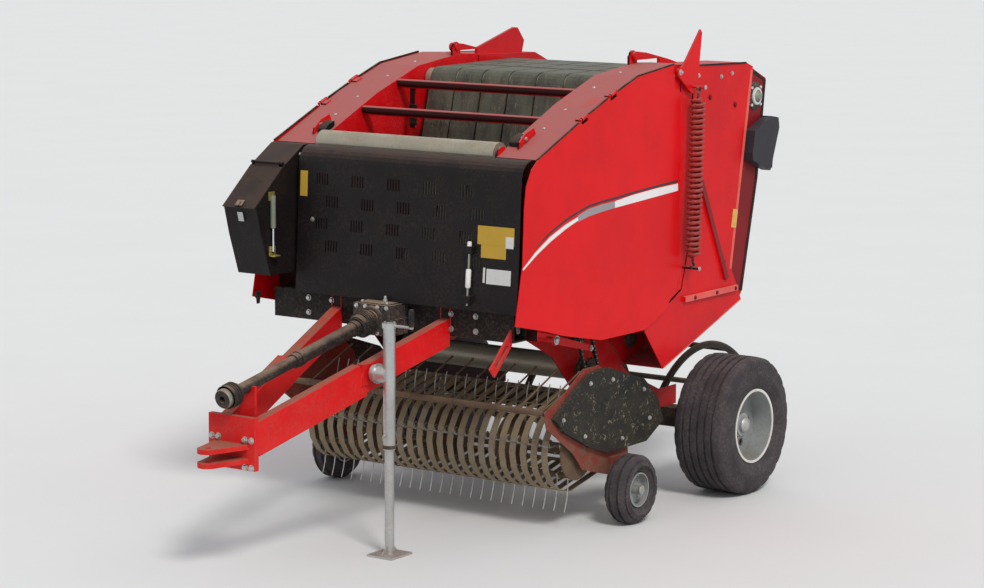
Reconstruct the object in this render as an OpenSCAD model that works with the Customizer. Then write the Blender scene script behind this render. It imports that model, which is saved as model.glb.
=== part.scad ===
// Towed round baler with a belt chamber. Units are millimetres.
// X points forward, Y to the left and Z up. Profiles are drawn from the wheel axle,
// and the whole machine is then moved so that the middle of its length is at x = 0.

/* [Body] */
// Half of the width over the side panels
body_half_w = 880; // [872:2:884]
// Half of the clear width of the bale chamber
chamber_half_w = 600; // [590:1:604]
// Thickness of the chamber walls
wall_t = 6; // [4:0.5:8]
// Thickness of the outer sheet panels
panel_t = 4; // [3:0.5:6]
// Gap between the chassis and the tailgate where they part
split_gap = 12; // [8:1:18]
// Diameter of the tubes across the open roof
roof_tube_d = 50; // [40:1:60]

/* [Tailgate] */
// Forward distance of the tailgate pivot from the axle
gate_pivot_x = 430; // [424:1:436]
// Height of the tailgate pivot
gate_pivot_z = 2495; // [2490:1:2505]
// Diameter of the tailgate pivot pins
gate_pin_d = 36; // [28:1:40]
// Diameter of the gate cylinder barrels
barrel_d = 80; // [70:1:90]
// Diameter of the gate cylinder rods
rod_d = 45; // [35:1:50]

/* [Belts and rollers] */
// Number of chamber belts
belt_count = 6; // [4:1:7]
// Width of one belt
belt_w = 172; // [120:1:176]
// Gap between belts
belt_gap = 12; // [8:1:16]
// Thickness of a belt
belt_t = 8; // [5:0.5:10]
// Diameter of the roller shafts
roller_shaft_d = 40; // [30:1:50]

/* [Wheels] */
// Outer diameter of the main tyres
tyre_d = 787; // [760:1:800]
// Width of the main tyres
tyre_w = 345; // [320:1:350]
// Diameter of the main tyre beads
bead_d = 410; // [380:1:420]
// Distance from the middle of the machine to the outer face of a main tyre
tyre_outer_y = 1206; // [1204:1:1230]
// Diameter of the wheel spindles
spindle_d = 60; // [45:1:70]
// Outer diameter of the gauge wheels
gauge_d = 380; // [370:1:384]
// Width of the gauge wheels
gauge_w = 150; // [130:1:160]

/* [Pickup] */
// Half of the width of the pickup between its side plates
pickup_half_w = 885; // [885:1:890]
// Radius that the tine tips reach
tine_reach = 340; // [300:1:344]
// Number of tines on each bar
tine_count = 25; // [12:1:26]
// Number of tine bars
tine_bars = 4; // [3:1:6]
// Thickness of a tine
tine_d = 7; // [5:0.5:8]
// Radius of the stripper bands round the reel
band_r = 225; // [210:1:235]

/* [Drawbar] */
// Distance from the axle to the hitch pin
hitch_x = 3360; // [3300:5:3450]
// Height of the middle of the hitch clevis
hitch_z = 630; // [600:5:650]
// Diameter of the hitch pin hole
hitch_hole_d = 32; // [25:1:36]
// Distance along the drawbar from the axle to the jack
jack_x = 2400; // [2350:5:2480]

/* [Hidden] */
$fn = 48;

red = "#d01c24";
black = "#232122";
rubber = "#2b2a2b";
steel = "#8d9088";
silver = "#c9cccb";
belt_grey = "#4b4c42";

// Play: what turns on a pin, what swings past a neighbour, and what only seats
turn_play = 0.05;
swing_play = 6;
seat_play = 0.3;

wall_out_y = chamber_half_w + wall_t;
frame_out_y = body_half_w - panel_t - swing_play;
gate_pivot = [gate_pivot_x, gate_pivot_z];
hub_z = tyre_d / 2;
axle_half = 55;
axle_half_w = 770;
axle_top = hub_z + axle_half;

// Lengths along the machine
hitch_nose = 55;
ramp_c = [-650, 50];
ramp_r = 650;
ramp_tube_d = 42;
ramp_end_a = 155;
front_end = hitch_x + hitch_nose;
rear_end = ramp_c[0] + (ramp_r + ramp_tube_d / 2) * cos(ramp_end_a);
mid_x = (front_end + rear_end) / 2;

// Line along which the tailgate parts from the chassis, from the top down
split_line = [[205, 2440], [205, 1500], [300, 1180], [690, 1000], [490, 760]];
// Top edge of the chassis, from the front corner to the tailgate
roof_line = [[1740, 2033], [1190, 2276], [800, 2408], [400, 2455], [217, 2446]];
// Rear edge of the tailgate, from the top down
gate_rear_line = [[-380, 2425], [-450, 2398], [-640, 2320], [-560, 1744], [-400, 1090], [-365, 1050]];
// Rear edge of the tailgate's outer panel
gate_panel_rear = [[-380, 2425], [-458, 2398], [-250, 1240], [-330, 1110], [-365, 1050]];
wall_front_x = 1740;
wall_foot_z = 1080;
pickup_pivot = [930, 700];
reel_c = [1330, 430];
guard_pivot = [1220, 830];
guard_tube = [1680, 690];
gauge_hub = [1030, gauge_d / 2];
cross_tube = [930, 320];

// Rollers as [x, z, radius]; a negative radius runs on the outer face of the belts
gate_roller_table = [[420, 900, 60], [-240, 1140, 75], [-500, 2215, 75], [-60, 2340, 60]];
front_roller_table = [[690, 2330, 60], [1010, 1040, 60], [760, 1480, 50], [613, 2130, -60], [480, 1480, 50]];
bare_rollers = [[1690, 2040, 66], [930, 800, 70]];

// Gate cylinder, closed
cyl_foot = [600, 1450];
cyl_head = [0, 2150];
cyl_y = 740;
cyl_pin_d = 30;
cyl_len = norm(cyl_head - cyl_foot);
cyl_dir = (cyl_head - cyl_foot) / cyl_len;

// Shroud and side door hinges
hood_axis = [1786, 2014];
hood_t = 6;
hood_lug_r = 11.5;
hood_left_y = frame_out_y - 8;
hood_right_y = -chamber_half_w - 2;
door_axis_at = [1190, 2280];
door_slope = -0.39;
door_tilt = atan(-door_slope);
door_hinge_x = [1050, 1330];

// Plane geometry on profiles in x and z
function unit(v) = v / norm(v);
function left_of(v) = [-v[1], v[0]];
function side_line(p, q, t) = [p + t * left_of(unit(q - p)), unit(q - p)];
function cross2(a, b) = a[0] * b[1] - a[1] * b[0];
function meet(a, b) = a[0] + a[1] * cross2(b[0] - a[0], b[1]) / cross2(a[1], b[1]);
function corner(p, q, r, t) =
  abs(cross2(unit(q - p), unit(r - q))) < 0.0001
    ? q + t * left_of(unit(q - p))
    : meet(side_line(p, q, t), side_line(q, r, t));
// An open line moved to its left by t
function shift_line(pts, t) = [
  for (i = [0 : len(pts) - 1])
    i == 0 ? pts[0] + t * left_of(unit(pts[1] - pts[0]))
    : i == len(pts) - 1 ? pts[i] + t * left_of(unit(pts[i] - pts[i - 1]))
    : corner(pts[i - 1], pts[i], pts[i + 1], t)
];
function backwards(pts) = [for (i = [len(pts) - 1 : -1 : 0]) pts[i]];
function arc(c, r, a0, a1, n = 6) = [
  for (i = [0 : n]) c + r * [cos(a0 + (a1 - a0) * i / n), sin(a0 + (a1 - a0) * i / n)]
];
function polar(c, r, a) = c + r * [cos(a), sin(a)];
function at3(p, y) = [p[0], y, p[1]];

// Where the twine box's lid turns, above the upper end of its slope
box_slope = [[1964, 1930], [2208, 1722]];
lid_way = unit(box_slope[1] - box_slope[0]);
lid_axis = box_slope[0] + 12 * left_of(lid_way);

// A band of thickness t along the left of an open line
module strip(pts, t) {
  polygon(concat(pts, backwards(shift_line(pts, t))));
}

// Extrudes a profile in x and z across the machine, from y0 to y1
module slab(y0, y1) {
  translate([0, y1, 0]) rotate([90, 0, 0]) linear_extrude(y1 - y0) children();
}

// A round bar across the machine at profile point p
module bar_y(p, y0, y1, d) {
  translate([p[0], y0, p[1]]) rotate([-90, 0, 0]) cylinder(d = d, h = y1 - y0);
}

// Turns the z axis along the line from p to q
module along(p, q) {
  v = q - p;
  translate(p) rotate([0, acos(v[2] / norm(v)), atan2(v[1], v[0])]) children();
}

module rod(p, q, d) {
  along(p, q) cylinder(d = d, h = norm(q - p));
}

// A bar of height h and width w from p to q
module beam(p, q, h, w) {
  along(p, q) translate([-h / 2, -w / 2, 0]) cube([h, w, norm(q - p)]);
}

module both_sides() {
  children();
  mirror([0, 1, 0]) children();
}

module on_side(s) {
  if (s > 0) children();
  else mirror([0, 1, 0]) children();
}

module place() {
  translate([-mid_x, 0, 0]) children();
}

// Drawbar

beam_back = [1860, 365, 1105];
beam_front = [3150, 95, 690];
beam_h = 140;
beam_w = 60;
sill_x = [wall_front_x, beam_back[0]];
sill_z = [wall_foot_z, 1240];
sill_half_w = body_half_w - 80;
function beam_at(x) = beam_back + (beam_front - beam_back) * (x - beam_back[0]) / (beam_front[0] - beam_back[0]);
// The jack keeps its distance from the drawbar's left beam
jack_side = round(beam_at(jack_x)[1]);
jack_y = jack_side + 148;
jack_z = 950;
jack_stub_d = 40;
jack_tube_d = 64;
jack_plate_y = [jack_side + 48, jack_side + 68];
rest_x = 3040;

sill_t = 8;

// Square tube across the front, open at its ends
module cross_sill() place() color(black) difference() {
  translate([sill_x[0], -sill_half_w, sill_z[0]])
    cube([sill_x[1] - sill_x[0], 2 * sill_half_w, sill_z[1] - sill_z[0]]);
  translate([sill_x[0] + sill_t, -sill_half_w - 1, sill_z[0] + sill_t])
    cube([sill_x[1] - sill_x[0] - 2 * sill_t, 2 * sill_half_w + 2, sill_z[1] - sill_z[0] - 2 * sill_t]);
}

module tongue() place() color(red) {
  both_sides() {
    difference() {
      union() {
        beam(beam_back - [20, 0, 0], beam_front, beam_h, beam_w);
        beam(beam_at(2450) + [0, 6, 0], beam_at(3140) + [0, 2, 0], 170, beam_w);
      }
      translate([0, -200, 0]) cube([beam_back[0], 800, 2000]);
      translate([beam_front[0], -200, 0]) cube([200, 800, 2000]);
    }
  }
  // Rest for the driveline
  translate([rest_x, -150, 690]) cube([16, 300, 90]);
  difference() {
    translate([rest_x, -50, 770]) cube([16, 100, driveline_z(rest_x) - 770]);
    rod([rest_x - 40, 0, driveline_z(rest_x - 40)], [rest_x + 60, 0, driveline_z(rest_x + 60)], 62.6);
  }
  // Stub that the jack swings on
  translate([jack_x - 70, beam_at(jack_x)[1], jack_z - 60]) cube([140, jack_plate_y[0] - 17 - beam_at(jack_x)[1], 110]);
  bar_y([jack_x, jack_z], jack_plate_y[0] - 30, jack_plate_y[1], jack_stub_d);
}

// Lift linkage of the pickup at the left front corner, in its lowered position
lift_y = [sill_half_w - 20, sill_half_w - 8];
lift_shaft = [1445, 1043];
lift_end = [1106, 953];
lift_cyl_top = [1712, 1128];

module lift_linkage() place() color(red) {
  y = (lift_y[0] + lift_y[1]) / 2;
  // Slotted lever
  difference() {
    beam([1840, y, 1130], [2035, y, 945], 62, 12);
    beam([1900, y, 1073], [2005, y, 973.5], 22, 30);
    translate([sill_x[0], y - 20, 900]) cube([sill_x[1] - sill_x[0], 40, 300]);
  }
  // Arm on its shaft, with an eye at each end
  slab(lift_y[0], lift_y[1]) difference() {
    union() {
      polygon([lift_shaft + [0, 24], lift_shaft - [0, 24], lift_end - [0, 16], lift_end + [0, 16]]);
      translate(lift_shaft) circle(r = 30);
      translate(lift_end) circle(r = 20);
    }
    translate(lift_end) circle(r = 9);
  }
  bar_y(lift_shaft, wall_out_y, lift_y[0] + 1, 32);
  // Lift cylinder between the sill's bracket and the arm
  plate_x = sill_x[0] - 5;
  slab(lift_y[0] - 2, lift_y[1])
    polygon([[plate_x - 34, 1150], [plate_x, 1160], [plate_x, 1096], [plate_x - 34, 1106]]);
  rod(at3(lift_cyl_top, y), at3(lift_cyl_top + 0.62 * (lift_shaft + [10, 26] - lift_cyl_top), y), 46);
  rod(at3(lift_cyl_top + 0.6 * (lift_shaft + [10, 26] - lift_cyl_top), y), at3(lift_shaft + [10, 26], y), 22);
}

lug_t = 25;
lug_gap = 46;
hitch_plate_x = [3150, 3180];

module hitch_clevis() place() color(red) {
  translate([hitch_plate_x[0], -150, hitch_z - 85])
    cube([hitch_plate_x[1] - hitch_plate_x[0], 300, 270]);
  for (s = [-1, 1])
    translate([0, 0, hitch_z + s * (lug_gap + lug_t) / 2 - lug_t / 2])
      difference() {
        linear_extrude(lug_t) {
          translate([hitch_x, 0]) circle(r = hitch_nose);
          polygon([[hitch_plate_x[1] - 5, -110], [hitch_x, -hitch_nose], [hitch_x, hitch_nose],
            [hitch_plate_x[1] - 5, 110]]);
        }
        translate([hitch_x, 0, -1]) cylinder(d = hitch_hole_d, h = lug_t + 2);
      }
}

gearbox_x = [1868, 2050];
shaft_back = [2050, 1150];
shaft_front = [3250, 905];
function driveline_z(x) =
  shaft_back[1] + (shaft_front[1] - shaft_back[1]) * (x - shaft_back[0]) / (shaft_front[0] - shaft_back[0]);

yoke_bore_d = 35;

module gearbox() place() color(black) {
  translate([sill_x[1], -90, 1090]) cube([12, 180, 140]);
  translate([gearbox_x[0], -120, 1070]) cube([gearbox_x[1] - gearbox_x[0] - 20, 240, 165]);
  translate([gearbox_x[1] - 24, 0, 1150]) rotate([0, 90, 0]) cylinder(d = 110, h = 24);
  // Rear half, which carries the cross shaft
  translate([drive_axis[0] - 62, -75, drive_axis[1] - 58])
    cube([sill_x[0] - drive_axis[0] + 62, 150, 116]);
  bar_y(drive_axis, 70, 92, 96);
}

module driveline() place() color(black) {
  p = at3(shaft_back, 0);
  q = at3(shaft_front, 0);
  u = unit(q - p);
  rod(p + [seat_play, 0, 0], p + [45, 0, 0], 44);
  rod(p + 14 * u, p + 110 * u, 96);
  rod(p + 90 * u, p + 640 * u, 74);
  rod(p + 600 * u, q - 90 * u, 62);
  difference() {
    rod(q - 110 * u, q, 92);
    rod(q - 60 * u, q + 5 * u, yoke_bore_d);
  }
}

// Chassis

module chassis_wall_profile() {
  edge = shift_line(split_line, split_gap);
  polygon(concat(
    roof_line,
    [edge[1], edge[2], edge[3], edge[4]],
    [[430, 700], [100, 560], [-90, 560], [-90, axle_top], [160, axle_top], [640, 600], [860, 620],
     [950, 630], [1210, 900], [1500, 1045], [wall_front_x, wall_foot_z]]
  ));
}

ear_r = 30;
roof_t = 5;

module door_frame(x) {
  translate([x, body_half_w - panel_t / 2, door_axis_at[1] + door_slope * (x - door_axis_at[0])])
    rotate([0, door_tilt, 0]) children();
}

knuckle_w = 50;
knuckle_d = 20;
knuckle_pin_d = 10;

module side_frame(s) place() color(red) on_side(s) {
  difference() {
    union() {
      slab(chamber_half_w, wall_out_y) {
        chassis_wall_profile();
        translate([bare_rollers[0][0], bare_rollers[0][1]]) circle(r = 44);
      }
      // Ear that carries the tailgate
      slab(chamber_half_w, wall_out_y + 8) {
        translate(gate_pivot) circle(r = ear_r);
        translate([gate_pivot[0] - 40, 2400]) square([80, gate_pivot[1] - 2400]);
      }
      // Pickup pivot doubler
      bar_y(pickup_pivot, chamber_half_w, wall_out_y + 8, 90);
    }
    bar_y(gate_pivot, chamber_half_w - 1, wall_out_y + 9, gate_pin_d + 2 * turn_play);
    bar_y(pickup_pivot, chamber_half_w - 1, wall_out_y + 9, pickup_pin_d + 2 * turn_play);
  }
  // Wide top flange and front plate of the side housing
  slab(wall_out_y, frame_out_y) strip(roof_line, roof_t);
  translate([wall_front_x - 5, wall_out_y, sill_z[0]])
    cube([5, frame_out_y - wall_out_y, 2033 - sill_z[0] - 3]);
  // Post behind the tension spring
  edge = shift_line(split_line, split_gap);
  post = [edge[0] + [0, 5], edge[1], edge[2], [345, 1178], [335, 2440]];
  slab(frame_out_y - panel_t, frame_out_y) polygon(post);
  slab(frame_out_y - 70, frame_out_y) strip([post[4], post[3]], -panel_t);
  slab(wall_out_y, frame_out_y) translate([post[2][0], 1198]) square([36, 8]);
  // Pins for the spring and the gate cylinder
  slab(frame_out_y - panel_t, frame_out_y) translate([330, 2375]) square([105, 72]);
  bar_y(lever_pivot, frame_out_y - panel_t, lever_y[0], 24);
  bar_y(spring_foot - [0, 14.3], frame_out_y - 2, spring_pin_y, 16);
  bar_y(cyl_foot, wall_out_y - 1, cyl_y + 32, cyl_pin_d);
  // Hinge knuckles of the side door
  for (x = door_hinge_x) door_frame(x) difference() {
    union() {
      rotate([0, 90, 0]) cylinder(d = knuckle_d, h = knuckle_w, center = true);
      translate([-knuckle_w / 2, -40, -14]) cube([knuckle_w, 40, 12]);
    }
    rotate([0, 90, 0]) cylinder(d = knuckle_pin_d + 2 * turn_play, h = knuckle_w + 2, center = true);
  }
  // Lug of the shroud hinge
  lug_y = s > 0 ? [wall_out_y + 34, wall_out_y + 44] : [wall_out_y - 1, wall_out_y + 10];
  difference() {
    slab(lug_y[0], lug_y[1]) {
      polygon([[wall_front_x - 1, 1950], [hood_axis[0], hood_axis[1] - hood_lug_r],
        [hood_axis[0], hood_axis[1] + hood_lug_r], [wall_front_x - 1, 1990]]);
      translate(hood_axis) circle(r = hood_lug_r);
    }
    bar_y(hood_axis, lug_y[0] - 1, lug_y[1] + 1, hood_pin_d + 2 * turn_play);
  }
}

roof_tube_at = [[985, 2318], [1310, 2188]];
strap_len = 248;

module roof_tubes() place() color(red) {
  for (p = roof_tube_at) bar_y(p, -chamber_half_w, chamber_half_w, roof_tube_d);
  // Strap that hangs from the rear tube
  translate([roof_tube_at[0][0] - 5, 80 - chamber_half_w, roof_tube_at[0][1] - strap_len])
    cube([10, 36, strap_len - 8]);
}

module axle_beam() place() color(black) {
  translate([-axle_half, -axle_half_w, hub_z - axle_half])
    cube([2 * axle_half, 2 * axle_half_w, 2 * axle_half]);
  both_sides() bar_y([0, hub_z], axle_half_w - 1, wheel_y + 62, spindle_d);
}

// Belts and rollers

roller_half = chamber_half_w - 10;

module roller(t) {
  bar_y([t[0], t[1]], -roller_half, roller_half, 2 * abs(t[2]));
  bar_y([t[0], t[1]], -chamber_half_w, chamber_half_w, roller_shaft_d);
}

module front_rollers() place() color(steel) {
  for (t = concat(front_roller_table, bare_rollers)) roller(t);
}

module gate_rollers() place() color(steel) {
  for (t = gate_roller_table) roller(t);
}

// Closed loop round the rollers at a height off above the belt's inner face,
// travelled clockwise so that the outside is on the left
function reach_of(t, off) = t[2] > 0 ? t[2] + seat_play + off : t[2] - seat_play - belt_t + off;
function lean(a, b, off) =
  let (d = [b[0] - a[0], b[1] - a[1]])
  atan2(d[1], d[0]) + acos((reach_of(a, off) - reach_of(b, off)) / norm(d));
function turn_to(a0, a1, way) =
  let (d = ((a1 - a0) % 360 + 360) % 360)
  way > 0 ? a0 + (d > 0 ? d - 360 : 0) : a0 + d;
function loop_points(t, off) = [
  for (i = [0 : len(t) - 1])
    let (
      a0 = lean(t[(i + len(t) - 1) % len(t)], t[i], off),
      a1 = turn_to(a0, lean(t[i], t[(i + 1) % len(t)], off), t[i][2]),
      n = max(1, ceil(abs(a0 - a1) / 20))
    )
    each arc([t[i][0], t[i][1]], reach_of(t[i], off) / cos((a0 - a1) / n / 2), a0, a1, n)
];

belt_rollers = concat(gate_roller_table, front_roller_table);
belt_pitch = belt_w + belt_gap;

module belts(zone) {
  for (i = [0 : belt_count - 1]) {
    y = (i - (belt_count - 1) / 2) * belt_pitch;
    intersection() {
      slab(y - belt_w / 2, y + belt_w / 2) difference() {
        polygon(loop_points(belt_rollers, belt_t));
        polygon(loop_points(belt_rollers, 0));
      }
      slab(y - belt_w, y + belt_w) polygon(zone);
    }
  }
}

module front_belts() place() color(belt_grey) {
  edge = shift_line(split_line, split_gap / 2);
  belts(concat([[edge[0][0], 3000]], edge, [[430, 500], [3000, 500], [3000, 3000]]));
}

module gate_belts() place() color(belt_grey) {
  edge = shift_line(split_line, -split_gap / 2);
  belts(concat([[edge[0][0], 3000]], edge, [[420, 500], [-3000, 500], [-3000, 3000]]));
}

// Drive on the left wall: a cross shaft from the gearbox, toothed wheels and roller chains
drive_axis = [1600, 1180];
drive_y = wall_out_y + 38;
chain_pitch = 25.4;
chain_t = 15;
// Each toothed wheel as [x, z, teeth, row]
wheels = [[drive_axis[0], drive_axis[1], 13, 0], [1010, 1040, 21, 0], [1010, 1040, 15, 1], [930, 800, 15, 1]];
row_y = [drive_y, drive_y + 34];
function wheel_r(n) = chain_pitch / 2 / sin(180 / n);
function chain_table(row) = [for (w = wheels) if (w[3] == row) [w[0], w[1], wheel_r(w[2]) - 7]];

module toothed_wheel(n) {
  r = wheel_r(n);
  linear_extrude(10, center = true)
    polygon([for (i = [0 : n - 1], e = [[-0.34, -7], [-0.14, 6], [0.14, 6], [0.34, -7]])
      (r + e[1]) * [cos(360 / n * (i + e[0])), sin(360 / n * (i + e[0]))]]);
  cylinder(d = 74, h = 26, center = true);
}

module drive_chains() place() color(steel) {
  for (w = wheels)
    translate([w[0], row_y[w[3]], w[1]]) rotate([90, 0, 0]) toothed_wheel(w[2]);
  for (row = [0, 1]) {
    t = chain_table(row);
    y = row_y[row];
    slab(y - 5.5, y + 5.5) difference() {
      polygon(loop_points(t, chain_t - 3));
      polygon(loop_points(t, 3));
    }
    for (e = [-1, 1]) slab(y + 6.5 * e - 1.5, y + 6.5 * e + 1.5) difference() {
      polygon(loop_points(t, chain_t));
      polygon(loop_points(t, 0));
    }
  }
  bar_y(drive_axis, wall_out_y, drive_y + 20, roller_shaft_d);
  bar_y([1010, 1040], wall_out_y, row_y[1] + 20, roller_shaft_d);
  bar_y([930, 800], wall_out_y, row_y[1] + 20, roller_shaft_d);
  bar_y(drive_axis, 92, chamber_half_w, 36);
}

// Levers that hold the upper ends of the tension springs
lever_pivot = [388, 2412];
lever_y = [frame_out_y + 14, frame_out_y + 26];
spring_pin_y = frame_out_y + 105;

module tension_levers() place() color(red) {
  foot = [[400, 2440], [212, 2330], [214, 2292], [262, 2288], [412, 2396]];
  for (s = [1, -1]) on_side(s) {
    slab(lever_y[0], lever_y[1]) {
      polygon(foot);
      translate(lever_pivot) circle(r = 26);
      // The left lever ends in a horn that shows the belts' tension
      if (s > 0) polygon([[352, 2450], [410, 2420], [300, 2310], [208, 2290], [160, 2622], [176, 2640]]);
    }
    bar_y(spring_top + [0, 14.3], lever_y[0] + 1, spring_pin_y, 16);
  }
}

// Tension springs, each a turned form with one groove per coil
spring_top = [250, 2310];
spring_foot = [288, 1325];
spring_y = frame_out_y + 62;
spring_r = 44;
spring_coils = 30;

module tension_springs() place() color(red) both_sides() {
  p = at3(spring_top, spring_y);
  q = at3(spring_foot, spring_y);
  len = norm(q - p);
  pitch = (len - 80) / spring_coils;
  along(p, q) {
    translate([0, 0, 40]) rotate_extrude($fn = 20)
      polygon(concat([[0, 0]],
        [for (i = [0 : spring_coils - 1], e = [0, 1])
          [spring_r - 14 * e, pitch * (i + e / 2)]],
        [[spring_r, pitch * spring_coils], [0, pitch * spring_coils]]));
    cylinder(d = 22, h = 50);
    translate([0, 0, -6]) cylinder(d = 22, h = 20);
    translate([0, 0, len - 50]) cylinder(d = 22, h = 56);
  }
}

// Twine box at the right front, with a hinged lid
box_y = [4 - frame_out_y, -wall_out_y - 34];
box_t = 5;
box_line = [box_slope[0], [1800, 2030], [wall_front_x, 2030], [wall_front_x, 1340], [2090, 1340],
  [2165, 1560], box_slope[1]];
lid_pin_d = 8;

module twine_box() place() color(black) {
  slab(box_y[0], box_y[1]) strip(box_line, box_t);
  for (y = [box_y[0], box_y[1] - box_t]) slab(y, y + box_t) polygon(box_line);
  // Ears of the lid's hinge
  for (y = [box_y[0] + 4, box_y[1] - 20]) difference() {
    slab(y, y + 16) {
      translate(lid_axis) circle(r = 9);
      polygon([lid_axis + 9 * lid_way, lid_axis - 9 * lid_way, box_slope[0] - 9 * lid_way - [0, 6],
        box_slope[0] + [0, -8]]);
    }
    bar_y(lid_axis, y - 1, y + 17, lid_pin_d + 2 * turn_play);
  }
  // Electric actuator on the inner face
  rod([2080, box_y[1] + 13, 1778], [2080, box_y[1] + 13, 1600], 26);
  rod([2080, box_y[1] + 13, 1610], [2080, box_y[1] + 13, 1465], 14);
  bar_y([2080, 1765], box_y[1] - 1, box_y[1] + 13, 12);
  bar_y([2080, 1480], box_y[1] - 1, box_y[1] + 13, 12);
}

module twine_lid() place() color(black) {
  seat = shift_line([box_slope[0] + 3 * lid_way, box_slope[1] + 14 * lid_way], seat_play);
  slab(box_y[0], box_y[1]) strip([seat[0] + 14 * lid_way, seat[1]], 4);
  slab(box_y[0] + 28, box_y[1] - 28) {
    strip([seat[0], seat[0] + 15 * lid_way], 4);
    translate(lid_axis) circle(r = 8);
    polygon([lid_axis, seat[0], seat[0] + 20 * lid_way + 4 * left_of(lid_way)]);
  }
  bar_y(lid_axis, box_y[0] + 6, box_y[1] - 6, lid_pin_d);
}

ramp_y = 460;

module bale_ramp() place() color(black) {
  both_sides() {
    translate([ramp_c[0], ramp_y, ramp_c[1]]) rotate([90, 0, 0]) rotate([0, 0, 30])
      rotate_extrude(angle = ramp_end_a - 30) translate([ramp_r, 0]) circle(d = ramp_tube_d);
    difference() {
      rod(at3(polar(ramp_c, ramp_r, 31), ramp_y), [-axle_half + 30, ramp_y, hub_z - 6], 34);
      translate([-axle_half, ramp_y - 40, hub_z - 100]) cube([100, 80, 200]);
    }
  }
  for (a = [115, ramp_end_a - 2])
    bar_y(polar(ramp_c, ramp_r, a), -ramp_y, ramp_y, 34);
}

// Jack, swung down to the ground

module jack_leg() place() color(silver) {
  c = [jack_x, jack_y];
  difference() {
    union() {
      translate([c[0], c[1], 560]) cylinder(d = jack_tube_d, h = 640);
      bar_y([jack_x, jack_z], jack_plate_y[0], c[1], 90);
    }
    bar_y([jack_x, jack_z], jack_plate_y[0] - 1, jack_plate_y[1] + 0.5, jack_stub_d + 2 * turn_play);
  }
  translate([c[0], c[1], 6]) cylinder(d = 50, h = 600);
  translate([c[0] - 90, c[1] - 80, 0]) cube([180, 160, 12]);
  translate([c[0], c[1], 1195]) cylinder(d = 76, h = 25);
  rod([c[0], c[1], 1208], [c[0], c[1] + 150, 1208], 16);
  rod([c[0], c[1] + 142, 1202], [c[0], c[1] + 142, 1300], 20);
}

// Tailgate

module gate_side(s) place() color(red) on_side(s) {
  outline = concat([split_line[0]], gate_rear_line, [split_line[4], split_line[3], split_line[2], split_line[1]]);
  panel = concat([split_line[0]], gate_panel_rear, [split_line[4], split_line[3], split_line[2], split_line[1]]);
  slab(chamber_half_w, wall_out_y) polygon(outline);
  slab(frame_out_y - panel_t, frame_out_y) polygon(panel);
  // Rim of the box: top, rear post and lower edge
  slab(wall_out_y, frame_out_y - 18) strip(concat([split_line[0]], gate_rear_line), 6);
  slab(wall_out_y, frame_out_y) strip([split_line[0], gate_rear_line[0], gate_rear_line[1]], 6);
  slab(wall_out_y, frame_out_y) strip([gate_rear_line[5], split_line[4]], 6);
  slab(frame_out_y - 22, frame_out_y) strip([gate_panel_rear[1], gate_panel_rear[2], gate_panel_rear[3]], 5);
  // Recessed rear band
  slab(frame_out_y - 22, frame_out_y - 18)
    polygon([[-400, 2404], gate_rear_line[1], gate_rear_line[2], gate_rear_line[3], gate_rear_line[4],
      [-300, 1090], [-160, 1240]]);
  // Diagonal stiffener and lower rib on the outer panel
  slab(frame_out_y - 1, frame_out_y + 14) strip([[148, 1880], [-198, 1200]], 34);
  slab(frame_out_y - 1, frame_out_y + 18) strip([[-300, 1112], [285, 1112]], 30);
  // Hinge arm, with a raised arm behind it on the right
  slab(wall_out_y + 16, wall_out_y + 32) {
    polygon([[gate_pivot[0], gate_pivot[1] + 24], [330, 2508], [100, 2462], [-20, 2432], [195, 2435],
      [195, gate_pivot[1] - 24], [gate_pivot[0], gate_pivot[1] - 24]]);
    translate(gate_pivot) circle(r = 24);
    if (s < 0) polygon([[195, 2440], [195, 2478], [-190, 2582], [-228, 2578], [-296, 2500], [-272, 2428],
      [195, 2435]]);
  }
  bar_y(gate_pivot, chamber_half_w - 8, wall_out_y + 30, gate_pin_d);
  // Pin stub for the cylinder, ends beside the rod's eye
  bar_y(cyl_head, wall_out_y - 1, cyl_y - 22, cyl_pin_d);
}

module gate_crossmembers() place() color(red) {
  for (p = [[110, 2355, 40], [-312, 1060, 30], [-502, 1700, 40]])
    bar_y(p, -chamber_half_w, chamber_half_w, p[2]);
}

lamp_y = [frame_out_y - 135, frame_out_y + 45];
lamp_side = [[-420, 2030], [-600, 2095], [-690, 2090], [-702, 2030], [-630, 1845], [-605, 1785], [-400, 1860],
  [-395, 1900]];

module tail_lamps() place() color(black) both_sides() {
  face = [gate_rear_line[2], gate_rear_line[3]];
  u = unit(face[1] - face[0]);
  a = face[0] + u * (gate_rear_line[2][1] - 2100);
  b = face[0] + u * (gate_rear_line[2][1] - 1800);
  slab(lamp_y[0], lamp_y[1]) strip(shift_line([a, b], -seat_play), -56);
  // The housing goes round the corner, onto the recessed band
  slab(frame_out_y - 18 + seat_play, lamp_y[1]) polygon(lamp_side);
}

module gate_barrel(s) place() color(black) on_side(s) difference() {
  union() {
    rod(at3(cyl_foot + 20 * cyl_dir, cyl_y), at3(cyl_foot + 700 * cyl_dir, cyl_y), barrel_d);
    bar_y(cyl_foot, cyl_y - 20, cyl_y + 20, 64);
  }
  bar_y(cyl_foot, cyl_y - 60, cyl_y + 60, cyl_pin_d + 2 * turn_play);
  rod(at3(cyl_foot + 90 * cyl_dir, cyl_y), at3(cyl_foot + 720 * cyl_dir, cyl_y), rod_d + 2 * turn_play);
}

module gate_rod(s) place() color(silver) on_side(s) difference() {
  union() {
    rod(at3(cyl_foot + 120 * cyl_dir, cyl_y), at3(cyl_head - 20 * cyl_dir, cyl_y), rod_d);
    bar_y(cyl_head, cyl_y - 15, cyl_y + 15, 64);
  }
  bar_y(cyl_head, cyl_y - 60, cyl_y + 60, cyl_pin_d + 6);
}

// Wheels, drawn with their axis along z and the outer side up

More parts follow.
